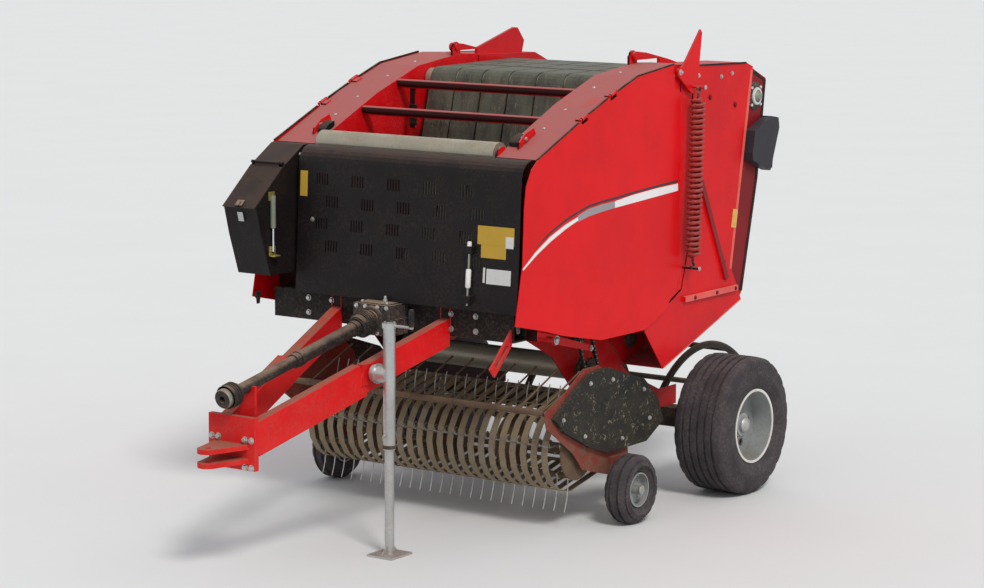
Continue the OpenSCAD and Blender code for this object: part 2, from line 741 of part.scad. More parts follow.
wheel_y = tyre_outer_y - tyre_w / 2;
gauge_y = pickup_half_w + 50 + gauge_w / 2;

function tyre_side(r, b, w) = [
  [b, w - 35], [b + 40, w - 8], [b + 105, w], [r - 30, w - 14], [r - 5, w - 36], [r, w - 62]
];
function flip(pts) = [for (p = backwards(pts)) [p[0], -p[1]]];

module tyre() {
  r = tyre_d / 2;
  b = bead_d / 2;
  w = tyre_w / 2;
  groove = [[r, 62], [r - 12, 60], [r - 12, 48], [r, 46]];
  cavity = [[b, w - 62], [b + 70, w - 26], [r - 48, w - 34], [r - 22, w - 80]];
  rotate_extrude($fn = 34) polygon(concat(tyre_side(r, b, w), groove, flip(groove), flip(tyre_side(r, b, w)),
    flip(backwards(cavity)), backwards(cavity)));
}

module rim() {
  b = bead_d / 2 - seat_play;
  w = tyre_w / 2 - 24;
  difference() {
    union() {
      rotate_extrude() polygon([[b - 7, -w], [b + 8, -w], [b + 8, -w + 5], [b, -w + 5], [b, w - 5],
        [b + 8, w - 5], [b + 8, w], [b - 7, w]]);
      translate([0, 0, 14]) cylinder(r = b - 3, h = 10);
      translate([0, 0, -76]) cylinder(d = 130, h = 150);
      translate([0, 0, 70]) cylinder(d = 90, h = 18);
    }
    translate([0, 0, -80]) cylinder(d = spindle_d + 2 * turn_play, h = 146);
    for (i = [0 : 5]) rotate([0, 0, 60 * i]) translate([138, 0, 0]) cylinder(d = 44, h = 40);
  }
}

module wheel_at(p, y, s) place() on_side(s) {
  translate([p[0], y, p[1]]) rotate([-90, 0, 0]) children();
}

module gauge_tyre() {
  r = gauge_d / 2;
  w = gauge_w / 2;
  rotate_extrude($fn = 28) polygon([[95, -w + 20], [130, -w], [r - 18, -w + 4], [r, -w + 26], [r, w - 26],
    [r - 18, w - 4], [130, w], [95, w - 20]]);
}

module gauge_rim() {
  w = gauge_w / 2 - 20;
  difference() {
    union() {
      rotate_extrude() polygon([[88, -w], [95 - seat_play, -w], [95 - seat_play, w], [88, w]]);
      translate([0, 0, 6]) cylinder(r = 92, h = 6);
      translate([0, 0, -w]) cylinder(d = 50, h = 2 * w + 6);
    }
    translate([0, 0, -w - 1]) cylinder(d = 25 + 2 * turn_play, h = 2 * w + 2);
  }
}

// Pickup

pickup_pin_d = 36;
reel_shaft_d = 50;
guard_pin_d = 20;
plate_t = 6;
plate_out_y = pickup_half_w + plate_t;
band_bar_top = [1062, 688];
band_bar_low = [1000, 285];

module pickup_frame() place() color(red) {
  both_sides() {
    difference() {
      union() {
        slab(pickup_half_w, plate_out_y) polygon([[860, 270], [1000, 240], [1330, 330], [1420, 430],
          [1680, 610], [1700, 700], [1500, 780], [1330, 880], [1180, 880], [1040, 760], [1000, 640],
          [890, 420]]);
        // Foot of the gauge wheel
        slab(plate_out_y - 1, plate_out_y + 20)
          polygon([[1080, 360], [1010, 360], [gauge_hub[0] - 30, gauge_hub[1]], [gauge_hub[0] + 30, gauge_hub[1]]]);
        bar_y(gauge_hub, plate_out_y, plate_out_y + 20, 60);
      }
      bar_y(reel_c, pickup_half_w - 1, plate_out_y + 1, reel_shaft_d + 2 * turn_play);
      bar_y(guard_pivot, pickup_half_w - 1, plate_out_y + 1, guard_pin_d + 2 * turn_play);
    }
    bar_y(gauge_hub, plate_out_y, gauge_y + gauge_w / 2 - 25, 25);
    // Lift arm up to the chassis
    slab(wall_out_y + 34, wall_out_y + 46) {
      translate(pickup_pivot) circle(r = 45);
      translate(cross_tube) circle(r = 45);
      translate([cross_tube[0] - 45, cross_tube[1]]) square([90, pickup_pivot[1] - cross_tube[1]]);
    }
    bar_y(pickup_pivot, chamber_half_w - 8, wall_out_y + 44, pickup_pin_d);
  }
  bar_y(cross_tube, -pickup_half_w - 1, pickup_half_w + 1, 50);
}

tine_span = 2 * (pickup_half_w - 57);
tine_pitch = tine_span / (tine_count - 1);

module stripper_bands() place() color(silver) {
  path = concat([band_bar_top + [0, 8]], arc(reel_c, band_r, 110, -90, 9), [band_bar_low - [0, 8]]);
  for (i = [0 : tine_count - 2]) {
    y = -tine_span / 2 + (i + 0.5) * tine_pitch;
    slab(y - 20, y + 20) strip(path, 3);
  }
  bar_y(band_bar_top, -pickup_half_w, pickup_half_w, 20);
  bar_y(band_bar_low, -pickup_half_w, pickup_half_w, 20);
}

module pickup_shields() place() color(black) both_sides() {
  outer = [[1640, 655], [1432, 788], [1300, 852], [1129, 864], [756, 748], [610, 620], [550, 487], [728, 394],
    [1122, 392], [1300, 450], [1542, 569]];
  slab(plate_out_y + 22, plate_out_y + 26) polygon(outer);
  slab(plate_out_y + seat_play, plate_out_y + 26)
    strip([outer[9], outer[10], outer[0], outer[1], outer[2], outer[3]], 4);
}

reel_bar_r = 140;
reel_end_y = pickup_half_w - 33;

module pickup_reel() place() color(steel) {
  bar_y(reel_c, -plate_out_y, plate_out_y, reel_shaft_d);
  for (i = [-2 : 2]) bar_y(reel_c, reel_end_y * i / 2 - 4, reel_end_y * i / 2 + 4, 2 * reel_bar_r + 44);
  for (b = [0 : tine_bars - 1]) {
    a = 360 / tine_bars * b + 20;
    bar_y(polar(reel_c, reel_bar_r, a), -reel_end_y, reel_end_y, 32);
    for (i = [0 : tine_count - 1]) {
      y = -tine_span / 2 + i * tine_pitch;
      rod(at3(polar(reel_c, reel_bar_r, a), y), at3(polar(reel_c, tine_reach - 2, a - 6), y), tine_d, $fn = 6);
    }
  }
}

module windguard() place() color(red) {
  both_sides() {
    slab(pickup_half_w - 19, pickup_half_w - 11) {
      strip([guard_pivot, guard_tube], 20);
      translate(guard_pivot) circle(r = 20);
    }
    bar_y(guard_pivot, pickup_half_w - 15, plate_out_y, guard_pin_d);
  }
  bar_y(guard_tube, -pickup_half_w + 11, pickup_half_w - 11, 34);
  finger_pitch = (pickup_half_w - 45) / 6;
  for (i = [-6 : 6])
    rod(at3(guard_tube, i * finger_pitch), [1300, i * finger_pitch, 850], 10, $fn = 12);
}

// Front shroud

hood_pin_d = 12;
hood_line = concat([[1792, 2036]], arc([1790, 1940], 96, 80, 10, 5), [[1905, 1500], [1925, 1240]]);

module front_shroud() place() color(black) {
  difference() {
    slab(hood_right_y, hood_left_y) strip(hood_line, -hood_t);
    for (r = [0 : 3], k = [0 : 4], i = [0 : 4])
      translate([1800, -480 + 240 * k + (r % 2) * 70 + 18 * i, 1830 - 120 * r]) cube([200, 8, 62]);
  }
  for (y = [[wall_out_y + 45, wall_out_y + 53], [hood_right_y + 4, hood_right_y + 11]]) {
    slab(y[0], y[1]) {
      polygon([[hood_axis[0] - 12, hood_axis[1]], [hood_axis[0] + 12, hood_axis[1] - 8],
        [1890, 1850], [1888, 1900], [1810, 2033], [1794, 2031]]);
      translate(hood_axis) circle(r = 12);
    }
  }
  bar_y(hood_axis, wall_out_y + 32, wall_out_y + 49, hood_pin_d);
  bar_y(hood_axis, -wall_out_y - 9, hood_right_y + 8, hood_pin_d);
}

// Side doors

door_line = [[1762, 2036], [1190, 2279], [800, 2412], [425, 2456], [425, 2330], [350, 2300], [350, 1260],
  [480, 1090], [700, 1008], [1140, 1010], [1500, 1080], [1690, 1130], [1960, 1190], [1895, 1500], [1882, 1800],
  [1866, 1905], [1820, 1990]];

module side_door(s) place() color(red) on_side(s) {
  y0 = body_half_w - panel_t;
  difference() {
    slab(y0, body_half_w) polygon(door_line);
    for (x = door_hinge_x) door_frame(x) translate([-knuckle_w / 2 - 5, -20, -30]) cube([knuckle_w + 10, 40, 60]);
  }
  for (x = door_hinge_x) door_frame(x) {
    for (e = [-1, 1]) translate([e * (knuckle_w / 2 + 6 + 4) - 4, 0, 0]) {
      translate([0, -panel_t / 2, -44]) cube([8, panel_t, 44]);
      rotate([0, 90, 0]) cylinder(d = knuckle_d - 2, h = 8);
    }
    rotate([0, 90, 0]) cylinder(d = knuckle_pin_d, h = knuckle_w + 20, center = true);
  }
}

tongue();
cross_sill();
hitch_clevis();
gearbox();
driveline();
side_frame(1);  // side_frame_left
side_frame(-1);  // side_frame_right
roof_tubes();
axle_beam();
front_rollers();
front_belts();
tension_levers();
tension_springs();
drive_chains();
lift_linkage();
twine_box();
bale_ramp();
jack_leg();
gate_side(1);  // gate_side_left
gate_side(-1);  // gate_side_right
gate_crossmembers();
gate_rollers();
gate_belts();
tail_lamps();
gate_barrel(1);  // gate_barrel_left
gate_rod(1);  // gate_rod_left
gate_barrel(-1);  // gate_barrel_right
gate_rod(-1);  // gate_rod_right
color(rubber) wheel_at([0, hub_z], wheel_y, 1) tyre();  // tyre_left
color(silver) wheel_at([0, hub_z], wheel_y, 1) rim();  // rim_left
color(rubber) wheel_at([0, hub_z], wheel_y, -1) tyre();  // tyre_right
color(silver) wheel_at([0, hub_z], wheel_y, -1) rim();  // rim_right
color(rubber) wheel_at(gauge_hub, gauge_y, 1) gauge_tyre();  // gauge_tyre_left
color(silver) wheel_at(gauge_hub, gauge_y, 1) gauge_rim();  // gauge_rim_left
color(rubber) wheel_at(gauge_hub, gauge_y, -1) gauge_tyre();  // gauge_tyre_right
color(silver) wheel_at(gauge_hub, gauge_y, -1) gauge_rim();  // gauge_rim_right
pickup_frame();
stripper_bands();
pickup_shields();
pickup_reel();
windguard();
front_shroud();
side_door(1);  // shield_left
side_door(-1);  // shield_right
twine_lid();
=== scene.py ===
from math import acos, atan2, cos, pi, radians, sin

import bmesh
import bpy
from mathutils import Matrix, Vector


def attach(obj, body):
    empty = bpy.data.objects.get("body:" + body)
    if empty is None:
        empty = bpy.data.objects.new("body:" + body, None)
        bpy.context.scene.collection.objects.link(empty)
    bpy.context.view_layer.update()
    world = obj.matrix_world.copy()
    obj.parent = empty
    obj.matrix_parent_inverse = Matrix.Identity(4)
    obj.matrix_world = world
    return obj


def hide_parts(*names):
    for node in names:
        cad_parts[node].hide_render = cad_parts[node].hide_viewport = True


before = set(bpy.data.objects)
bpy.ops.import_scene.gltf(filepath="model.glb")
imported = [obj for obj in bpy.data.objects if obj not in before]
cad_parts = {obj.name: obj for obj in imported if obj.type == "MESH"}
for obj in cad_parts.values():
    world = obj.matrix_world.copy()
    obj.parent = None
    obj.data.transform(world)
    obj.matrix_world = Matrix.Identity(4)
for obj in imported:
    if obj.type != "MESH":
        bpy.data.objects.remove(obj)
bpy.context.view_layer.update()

# Places are written as in the source: metres forward of the axle, to the left, and up
MID = 1.0784337
AHEAD, LEFT, UP = (1, 0, 0), (0, 1, 0), (0, 0, 1)
CHAMBER, WALL_OUT, FRAME_OUT = 0.600, 0.606, 0.870
CHASSIS, GATE, PICKUP, SHROUD = "chassis", "tailgate", "pickup", "shroud"
SHARP = radians(38)


def at(x, y, z):
    return Vector((x - MID, y, z))


def into_scene(obj):
    bpy.context.scene.collection.objects.link(obj)


# Materials

class Graph:
    """A procedural material that is built node by node."""

    def __init__(self, name):
        self.mat = bpy.data.materials.new(name)
        self.mat.use_nodes = True
        self.tree = self.mat.node_tree
        self.bsdf = self.tree.nodes["Principled BSDF"]
        self.coords = self.tree.nodes.new("ShaderNodeTexCoord")
        self.where = self.coords.outputs["Object"]

    def node(self, kind, settings=None, **inputs):
        n = self.tree.nodes.new("ShaderNode" + kind)
        for key, value in (settings or {}).items():
            setattr(n, key, value)
        for key, value in inputs.items():
            self.put(n, key, value)
        return n

    def put(self, n, key, value):
        target = n.inputs[int(key[1:])] if key[1:].isdigit() else n.inputs[key.replace("_", " ")]
        if isinstance(value, bpy.types.NodeSocket):
            self.tree.links.new(value, target)
        else:
            target.default_value = value

    def calc(self, op, a, b=0.0):
        return self.node("Math", {"operation": op}, i0=a, i1=b).outputs[0]

    def times(self, a, b):
        return self.calc("MULTIPLY", a, b)

    def spread(self, value, low, high, to_low=0.0, to_high=1.0):
        n = self.node("MapRange", {"interpolation_type": "SMOOTHSTEP"}, Value=value)
        for key, v in zip(("From Min", "From Max", "To Min", "To Max"), (low, high, to_low, to_high)):
            n.inputs[key].default_value = v
        return n.outputs[0]

    def noise(self, scale, detail, stretch=(1, 1, 1), place=None):
        move = self.node("Mapping", Vector=place or self.where, Scale=stretch)
        noise = self.node("TexNoise", Vector=move.outputs[0], Scale=scale, Detail=detail, Roughness=0.6)
        return noise.outputs["Fac"]

    def mix(self, factor, a, b):
        n = self.node("Mix", {"data_type": "RGBA"}, i0=factor, i6=a, i7=b)
        return n.outputs[2]

    def axis(self, output, i):
        return self.node("SeparateXYZ", Vector=self.coords.outputs[output]).outputs[i]

    def set(self, **inputs):
        for key, value in inputs.items():
            self.put(self.bsdf, key, value)


def tone(red, green, blue):
    """An sRGB colour of 0 to 255 as a linear one."""
    def linear(c):
        c /= 255
        return c / 12.92 if c <= 0.04045 else ((c + 0.055) / 1.055) ** 2.4
    return (linear(red), linear(green), linear(blue), 1.0)


# BARE_EDGE is bare steel on rubbed edges, STRAW is chaff, and SHADE_TONE is the near-black of painted shade.
BARE_EDGE, STRAW, SHADE_TONE = tone(150, 138, 130), tone(150, 142, 118), tone(24, 15, 15)


def finish(name, base, rough, dust, dust_tone=(168, 140, 118), metal=0.0, coat=0.0, grain=0.15,
           grain_scale=220, shade=0.12, brushed=(1, 1, 1), worn=0.0, spec=0.2, flecks=0.0, painted_shade=False):
    """Paint, metal or rubber with drifting shade, fine grain, and dust. Both tones are sRGB of 0 to 255.

    dust is how much lies on faces that look up, how much lies low on the machine, and how much everywhere.
    flecks is how much dry chaff sticks to it, and painted_shade darkens front faces and the chamber's inside
    below the roof as painted shade."""
    g = Graph(name)
    base = tone(*base)
    drift = g.noise(2.3, 5.0)
    fine = g.noise(grain_scale, 2.0, brushed)
    dark = tuple(c * (1 - shade) for c in base[:3]) + (1,)
    pale = tuple(min(1, c * (1 + shade)) for c in base[:3]) + (1,)
    colour = g.mix(g.spread(drift, 0.35, 0.65), dark, pale)
    up = g.spread(g.axis("Normal", 2), 0.25, 0.95)
    low = g.spread(g.axis("Object", 2), 0.15, 1.25, 1.0, 0.0)
    patches = g.spread(g.noise(9.0, 6.0), 0.30, 0.62)
    specks = g.spread(g.noise(75.0, 3.0), 0.42, 0.66)
    cover = g.calc("ADD", g.times(up, dust[0]), g.times(low, dust[1]))
    cover = g.times(cover, g.spread(patches, 0.0, 1.0, 0.55, 1.0))
    thin = g.times(g.times(specks, patches), dust[2])
    mask = g.calc("MINIMUM", g.calc("ADD", cover, thin), 0.92)
    if worn:
        soft = g.node("Bevel", {"samples": 4}, Radius=0.004).outputs[0]
        true = g.node("NewGeometry").outputs["Normal"]
        turn = g.node("VectorMath", {"operation": "DOT_PRODUCT"}, i0=soft, i1=true).outputs["Value"]
        edge = g.times(g.spread(turn, 0.985, 0.90), g.spread(g.noise(40.0, 5.0), 0.46, 0.60))
        colour = g.mix(g.times(edge, worn), colour, BARE_EDGE)
    colour = g.mix(mask, colour, tone(*dust_tone))
    if flecks:
        bend = g.node("TexNoise", Vector=g.where, Scale=11.0, Detail=2.0).outputs["Color"]
        bend = g.node("VectorMath", {"operation": "SCALE"}, i0=bend, Scale=0.16).outputs[0]
        bent = g.node("VectorMath", {"operation": "ADD"}, i0=g.where, i1=bend).outputs[0]
        strands = g.calc("MAXIMUM", g.spread(g.noise(70.0, 2.0, (0.8, 1, 0.30), bent), 0.60, 0.68),
                         g.spread(g.noise(64.0, 2.0, (0.32, 1, 0.9), bent), 0.61, 0.69))
        straw = g.times(strands, g.spread(g.noise(13.0, 5.0), 0.44, 0.62))
        colour = g.mix(g.times(straw, flecks), colour, STRAW)
    # Painted shade: faces that look ahead, and the chamber's inner walls below the roof, go nearly to
    # SHADE_TONE.
    if painted_shade:
        ahead = g.spread(g.axis("Normal", 0), 0.6, 0.8)
        inside = g.calc("LESS_THAN", g.calc("ABSOLUTE", g.axis("Object", 1)), CHAMBER + 0.003)
        inside = g.times(inside, g.spread(g.axis("Object", 2), 1.80, 2.12, 1.0, 0.0))
        colour = g.mix(g.times(g.calc("MAXIMUM", ahead, inside), 0.97), colour, SHADE_TONE)
    g.set(Base_Color=colour, Metallic=metal, IOR=1.45, Specular_IOR_Level=spec)
    g.set(Roughness=g.spread(g.calc("ADD", mask, g.times(fine, 0.15)), 0.0, 0.8, rough, 0.85))
    if coat:
        g.set(Coat_Weight=coat, Coat_Roughness=0.12)
    height = g.calc("ADD", g.times(fine, grain), g.times(mask, 0.25))
    bump = g.node("Bump", Height=height, Strength=0.25, Distance=0.002)
    g.put(bump, "Normal", g.node("Bevel", {"samples": 4}, Radius=0.0018).outputs[0])
    g.set(Normal=bump.outputs[0])
    return g.mat


RED, ROSE = (218, 9, 19), (164, 104, 100)
paint = finish("red_clean", RED, 0.32, (0.75, 0.08, 0.05), ROSE, coat=0.06, shade=0.07, grain=0.05, spec=0.12)
# Dusty red, with painted shade on its forward faces and low inside the chamber.
paint_dusty_shaded = finish("red_dusty_shaded", RED, 0.45, (1.35, 0.25, 0.25), ROSE, painted_shade=True, spec=0.12)
# The gate's red is a little darker than the door's red: painted shade.
paint_gate_shaded = finish("red_gate_shaded", (210, 10, 20), 0.34, (0.75, 0.12, 0.08), ROSE, coat=0.05, shade=0.09,
                    grain=0.05, spec=0.12)
# A darker red for the gate's inner crossmembers: painted shade.
paint_inner_shaded = finish("red_inner_shaded", (196, 20, 28), 0.45, (0.8, 0.35, 0.35), (146, 84, 78), shade=0.15)
paint_low = finish("red_low", (214, 13, 21), 0.38, (0.85, 0.25, 0.18), (148, 100, 84), worn=0.6, spec=0.15)
paint_worn = finish("red_worn", (140, 26, 26), 0.50, (0.60, 0.55, 0.55), (112, 94, 76), worn=0.9)
earthy = finish("earthy_steel", (92, 70, 60), 0.55, (0.6, 0.4, 0.5), (122, 104, 80), worn=0.6)
black = finish("black_sheet", (25, 21, 23), 0.40, (0.35, 0.22, 0.10), (104, 82, 70), shade=0.1)
black_low = finish("black_low", (26, 24, 24), 0.55, (0.45, 0.30, 0.35), (98, 84, 70), worn=0.5)
black_chaff = finish("black_chaff", (23, 22, 23), 0.50, (0.35, 0.20, 0.22), (96, 88, 74), flecks=0.75)
plastic = finish("black_plastic", (34, 33, 34), 0.48, (0.45, 0.25, 0.15), grain=0.4)
# Black rubber for the door seals and the strap sheath, also used as painted shade on the gate.
black_rubber_and_shade = finish("black_rubber_and_shade", (22, 21, 22), 0.7, (0.25, 0.15, 0.15), grain=0.5)
rubber = finish("tyre_rubber", (53, 49, 53), 0.78, (0.25, 0.22, 0.36), (106, 98, 96), grain=0.5)
silver = finish("silver_paint", (168, 174, 175), 0.38, (0.4, 0.25, 0.2), (130, 120, 108), metal=0.25)
zinc = finish("zinc_plate", (186, 190, 190), 0.32, (0.3, 0.2, 0.2), metal=0.9, shade=0.18)
steel = finish("worn_steel", (150, 150, 140), 0.40, (0.45, 0.3, 0.3), metal=0.75, brushed=(1, 30, 1))
bare = finish("roller_steel", (166, 160, 144), 0.38, (0.35, 0.1, 0.25), (150, 136, 116), metal=0.55,
              brushed=(1, 0.05, 1), grain=0.3)
chrome = finish("rod_chrome", (222, 224, 226), 0.08, (0.15, 0, 0.05), metal=1.0, grain=0.02, shade=0.03)
cast = finish("cast_iron", (52, 50, 50), 0.6, (0.7, 0.35, 0.3), grain=1.0, grain_scale=90, worn=0.4)
oily = finish("oily_chain", (74, 68, 60), 0.42, (0.4, 0.25, 0.4), (84, 72, 58), metal=0.7, worn=0.8)
bands = finish("galvanised_bands", (142, 134, 122), 0.45, (0.5, 0.5, 0.6), (150, 130, 98), metal=0.6)
# Dark red spring wire; its pinkish dust on the coils is partly real dust and partly painted highlight.
springy = finish("spring_red", (158, 42, 42), 0.45, (0.55, 0.2, 0.45), (160, 112, 102))
# Pale pink for the gate's lit edges and rib: painted highlight, with the usual dust.
edge_highlight_red = finish("edge_highlight_red", (222, 88, 78), 0.45, (0.5, 0.2, 0.35), (196, 140, 130))
# A dark red; on the gate's recessed rear band it is painted shade.
band_shade_red = finish("band_shade_red", (124, 10, 20), 0.5, (0.4, 0.15, 0.15), (120, 70, 66))
lamp_shell = finish("lamp_shell", (52, 51, 58), 0.5, (0.20, 0.05, 0.08), (104, 98, 98), grain=0.3)
# Dark red for the diagonal brace's faces: painted shade.
diagonal_shade_red = finish("diagonal_shade_red", (128, 34, 38), 0.5, (0.6, 0.3, 0.45), (120, 74, 70))
grey_green = finish("grey_green", (128, 138, 122), 0.45, (0.3, 0.2, 0.25), metal=0.2)
white = finish("white_enamel", (226, 224, 220), 0.35, (0.3, 0.2, 0.2))
yellow = finish("yellow_plate", (186, 150, 52), 0.38, (0.3, 0.2, 0.15), shade=0.05)
passivated = finish("yellow_zinc", (176, 158, 84), 0.36, (0.35, 0.2, 0.25), metal=0.7, shade=0.2)
label = finish("pale_plate", (206, 206, 204), 0.36, (0.3, 0.2, 0.12), metal=0.1, shade=0.05)
stripe_grey = finish("stripe_grey", (150, 146, 150), 0.32, (0.3, 0.1, 0.06), shade=0.06)
stripe_white = finish("stripe_white", (232, 230, 228), 0.30, (0.3, 0.1, 0.06), shade=0.03)
stripe_dark = finish("stripe_dark", (56, 52, 58), 0.34, (0.3, 0.1, 0.06), shade=0.05)


def belt_material():
    """Rubber belting with a woven diamond top and chaff dust."""
    g = Graph("belt_rubber")
    drift = g.spread(g.noise(4.0, 6.0, (1, 3, 1)), 0.3, 0.7)
    colour = g.mix(drift, tone(58, 58, 50), tone(92, 92, 78))
    chaff = g.spread(g.noise(30.0, 5.0, (1, 4, 1)), 0.55, 0.75)
    colour = g.mix(g.times(chaff, 0.6), colour, tone(146, 136, 100))
    weave = g.node("TexVoronoi", {"feature": "F1", "distance": "MANHATTAN"},
                   Vector=g.where, Scale=130.0).outputs["Distance"]
    g.set(Base_Color=colour, Roughness=g.spread(drift, 0, 1, 0.62, 0.8))
    g.set(Normal=g.node("Bump", Height=weave, Strength=0.5, Distance=0.002).outputs[0])
    return g.mat


def lens_material(name, colour):
    g = Graph(name)
    cells = g.node("TexVoronoi", {"feature": "DISTANCE_TO_EDGE"}, Vector=g.where,
                   Scale=160.0).outputs["Distance"]
    deep = tuple(c * 0.55 for c in colour[:3]) + (1,)
    g.set(Base_Color=g.mix(g.spread(cells, 0.0, 0.3), deep, colour), Roughness=0.12)
    g.set(Coat_Weight=0.6)
    g.set(Normal=g.node("Bump", Height=cells, Strength=0.4, Distance=0.002).outputs[0])
    return g.mat


belting = belt_material()
red_lens = lens_material("red_lens", tone(190, 16, 20))
yellow_lens = lens_material("yellow_lens", tone(246, 184, 46))
amber_lens = lens_material("amber_lens", tone(240, 150, 30))
clear_lens = lens_material("clear_lens", tone(225, 225, 225))

CAD_FINISH = {name: material for material, names in (
    (paint, "shield tension_levers"), (paint_low, "tongue hitch_clevis lift_linkage"), (plastic, "driveline"),
    (paint_dusty_shaded, "side_frame roof_tubes"), (paint_gate_shaded, "gate_side"), (paint_inner_shaded, "gate_crossmembers"),
    (paint_worn, "pickup_frame"), (black, "twine_box twine_lid front_shroud"), (cast, "gearbox"),
    (black_low, "cross_sill axle_beam bale_ramp gate_barrel"), (black_chaff, "pickup_shields"),
    (belting, "front_belts gate_belts"), (bare, "front_rollers"), (steel, "gate_rollers pickup_reel"),
    (springy, "tension_springs"), (oily, "drive_chains"), (zinc, "jack_leg"), (lamp_shell, "tail_lamps"),
    (chrome, "gate_rod"), (rubber, "tyre gauge_tyre"), (silver, "rim gauge_rim"), (earthy, "windguard"),
    (bands, "stripper_bands")) for name in names.split()}
for node_name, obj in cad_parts.items():
    obj.data.materials.clear()
    obj.data.materials.append(CAD_FINISH[node_name.removesuffix("_left").removesuffix("_right")])


# Mesh tools

def around(axis):
    """The unit vector of an axis, and two unit vectors across it."""
    axis = Vector(axis).normalized()
    side = axis.orthogonal().normalized()
    return axis, side, axis.cross(side)


def turns(sides):
    """Angles in even steps round a full turn."""
    return [2 * pi * k / sides for k in range(sides)]


def circle(centre, radius, count, first):
    """Points round an axle's line, from an angle in degrees."""
    angles = (radians(first + 360 / count * k) for k in range(count))
    return [centre + Vector((radius * cos(t), 0, radius * sin(t))) for t in angles]


def head(radius, end, tip, start=0):
    """The profile of a pin's end with a small bevel."""
    return [(start, radius), (end, radius), (end + 0.002, tip)]


def hoop(start, end, r_in, r_out):
    """The profile of a plain ring."""
    return [(start, r_in), (start, r_out), (end, r_out), (end, r_in)]


def both(s, low, high):
    """A span in y on side s of the machine, with its lower end first."""
    return sorted((s * low, s * high))


class Form:
    """Collects geometry, and makes one piece of it that rides on a body."""

    def __init__(self):
        self.bm = bmesh.new()

    def skin(self, rows, closed=False):
        """Faces between rows of points. Each row is a loop."""
        made = [[self.bm.verts.new(p) for p in row] for row in rows]
        pairs = list(zip(made, made[1:])) + ([(made[-1], made[0])] if closed else [])
        for a, b in pairs:
            for i in range(len(a)):
                j = (i + 1) % len(a)
                self.bm.faces.new((a[i], a[j], b[j], b[i]))
        if not closed:
            self.bm.faces.new(list(reversed(made[0])))
            self.bm.faces.new(made[-1])

    def plate(self, outline, y0, y1):
        """A flat sheet: an outline in x and z, from y0 to y1."""
        self.skin([[at(x, y, z) for x, z in outline] for y in (y0, y1)])

    def block(self, low, high):
        (x0, y0, z0), (x1, y1, z1) = low, high
        self.plate([(x0, z0), (x1, z0), (x1, z1), (x0, z1)], y0, y1)

    def tube(self, path, radius, sides, closed=False):
        """A round bar along a path of vectors, with one radius or one for each point."""
        path = [Vector(p) for p in path]
        n = len(path)
        radii = radius if isinstance(radius, (list, tuple)) else [radius] * n
        rows = []
        side = None
        for i, p in enumerate(path):
            before = path[i - 1] if i or closed else p
            after = path[(i + 1) % n] if i + 1 < n or closed else p
            way = (after - before).normalized()
            if side is None:
                side = way.orthogonal().normalized()
            side = (side - way * side.dot(way)).normalized()
            other = way.cross(side)
            rows.append([p + radii[i] * (cos(t) * side + sin(t) * other) for t in turns(sides)])
        self.skin(rows, closed)

    def turned(self, centre, axis, profile, sides, shift=None):
        """A solid of revolution: profile pairs are distance along the axis and radius."""
        axis, side, other = around(axis)
        rows = []
        for k, t in enumerate(turns(sides)):
            out = cos(t) * side + sin(t) * other
            pts = [(shift(k, d, r) if shift else (d, r)) for d, r in profile]
            rows.append([centre + axis * d + out * r for d, r in pts])
        self.skin(rows, closed=True)

    def knob(self, centre, axis, profile, sides):
        """A turned solid whose profile starts and ends on the axis."""
        axis, side, other = around(axis)
        self.skin([[centre + axis * d + r * (cos(t) * side + sin(t) * other) for t in turns(sides)]
                   for d, r in profile])

    def bolt(self, centre, axis, across, high, washer=True):
        """A hexagon head with a chamfered top, on a washer."""
        axis = Vector(axis).normalized()
        r = across / 2 / cos(pi / 6)
        if washer:
            self.knob(centre - axis * 0.0005, axis, [(0, r * 1.3), (0.0022, r * 1.3)], 14)
        self.knob(centre + axis * 0.0015, axis, [(0, r), (high * 0.8, r), (high, r * 0.86)], 6)

    def rivet(self, centre, axis, radius, high):
        self.knob(centre - Vector(axis).normalized() * 0.0005, axis,
                  [(0, radius), (high * 0.5, radius * 0.9), (high, radius * 0.45)], 10)

    def done(self, name, material, body=CHASSIS, slot="worn_steel", smooth=True, soften=0.0, hide=()):
        bmesh.ops.recalc_face_normals(self.bm, faces=self.bm.faces)
        mesh = bpy.data.meshes.new(name)
        self.bm.to_mesh(mesh)
        self.bm.free()
        mesh.materials.append(material)
        obj = bpy.data.objects.new(name, mesh)
        into_scene(obj)
        if smooth:
            mesh.shade_smooth()
            mesh.set_sharp_from_angle(angle=SHARP)
        if soften:
            bevel = obj.modifiers.new("edges", "BEVEL")
            bevel.width = soften
            bevel.segments = 2
            bevel.limit_method = "ANGLE"
            bevel.harden_normals = True
        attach(obj, body)
        if hide:
            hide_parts(*hide)


def band(points, width):
    """An outline of the given width, centred on an open line in x and z."""
    left, right = [], []
    for i, (x, z) in enumerate(points):
        a = Vector(points[max(i - 1, 0)])
        b = Vector(points[min(i + 1, len(points) - 1)])
        way = (b - a).normalized()
        w = (width[i] if isinstance(width, (list, tuple)) else width) / 2
        left.append((x - way.y * w, z + way.x * w))
        right.append((x + way.y * w, z - way.x * w))
    return left + right[::-1]


def toward(p, q):
    """The unit vector from p to q and the one to its left, both in x and z."""
    way = (Vector(q) - Vector(p)).normalized()
    return way, Vector((-way.y, way.x))


def sheet_on(form, p, q, f0, f1, off, thick, y0, y1):
    """A thin plate on the line from p to q, between two shares of its length."""
    way, left = toward(p, q)
    long = (Vector(q) - Vector(p)).length
    a = Vector(p) + way * long * f0 + left * off
    b = Vector(p) + way * long * f1 + left * off
    form.plate([tuple(a), tuple(b), tuple(b + left * thick), tuple(a + left * thick)], y0, y1)


SIDES = (("left", 1), ("right", -1))

# Wheels

WHEEL_Y, TYRE_R, TYRE_SIZE = 1.0335, 0.3935, (0.3935, 0.345, 0.205)
GAUGE_X, GAUGE_Y, GAUGE_R, GAUGE_SIZE = 1.030, 1.010, 0.190, (0.190, 0.150, 0.095)


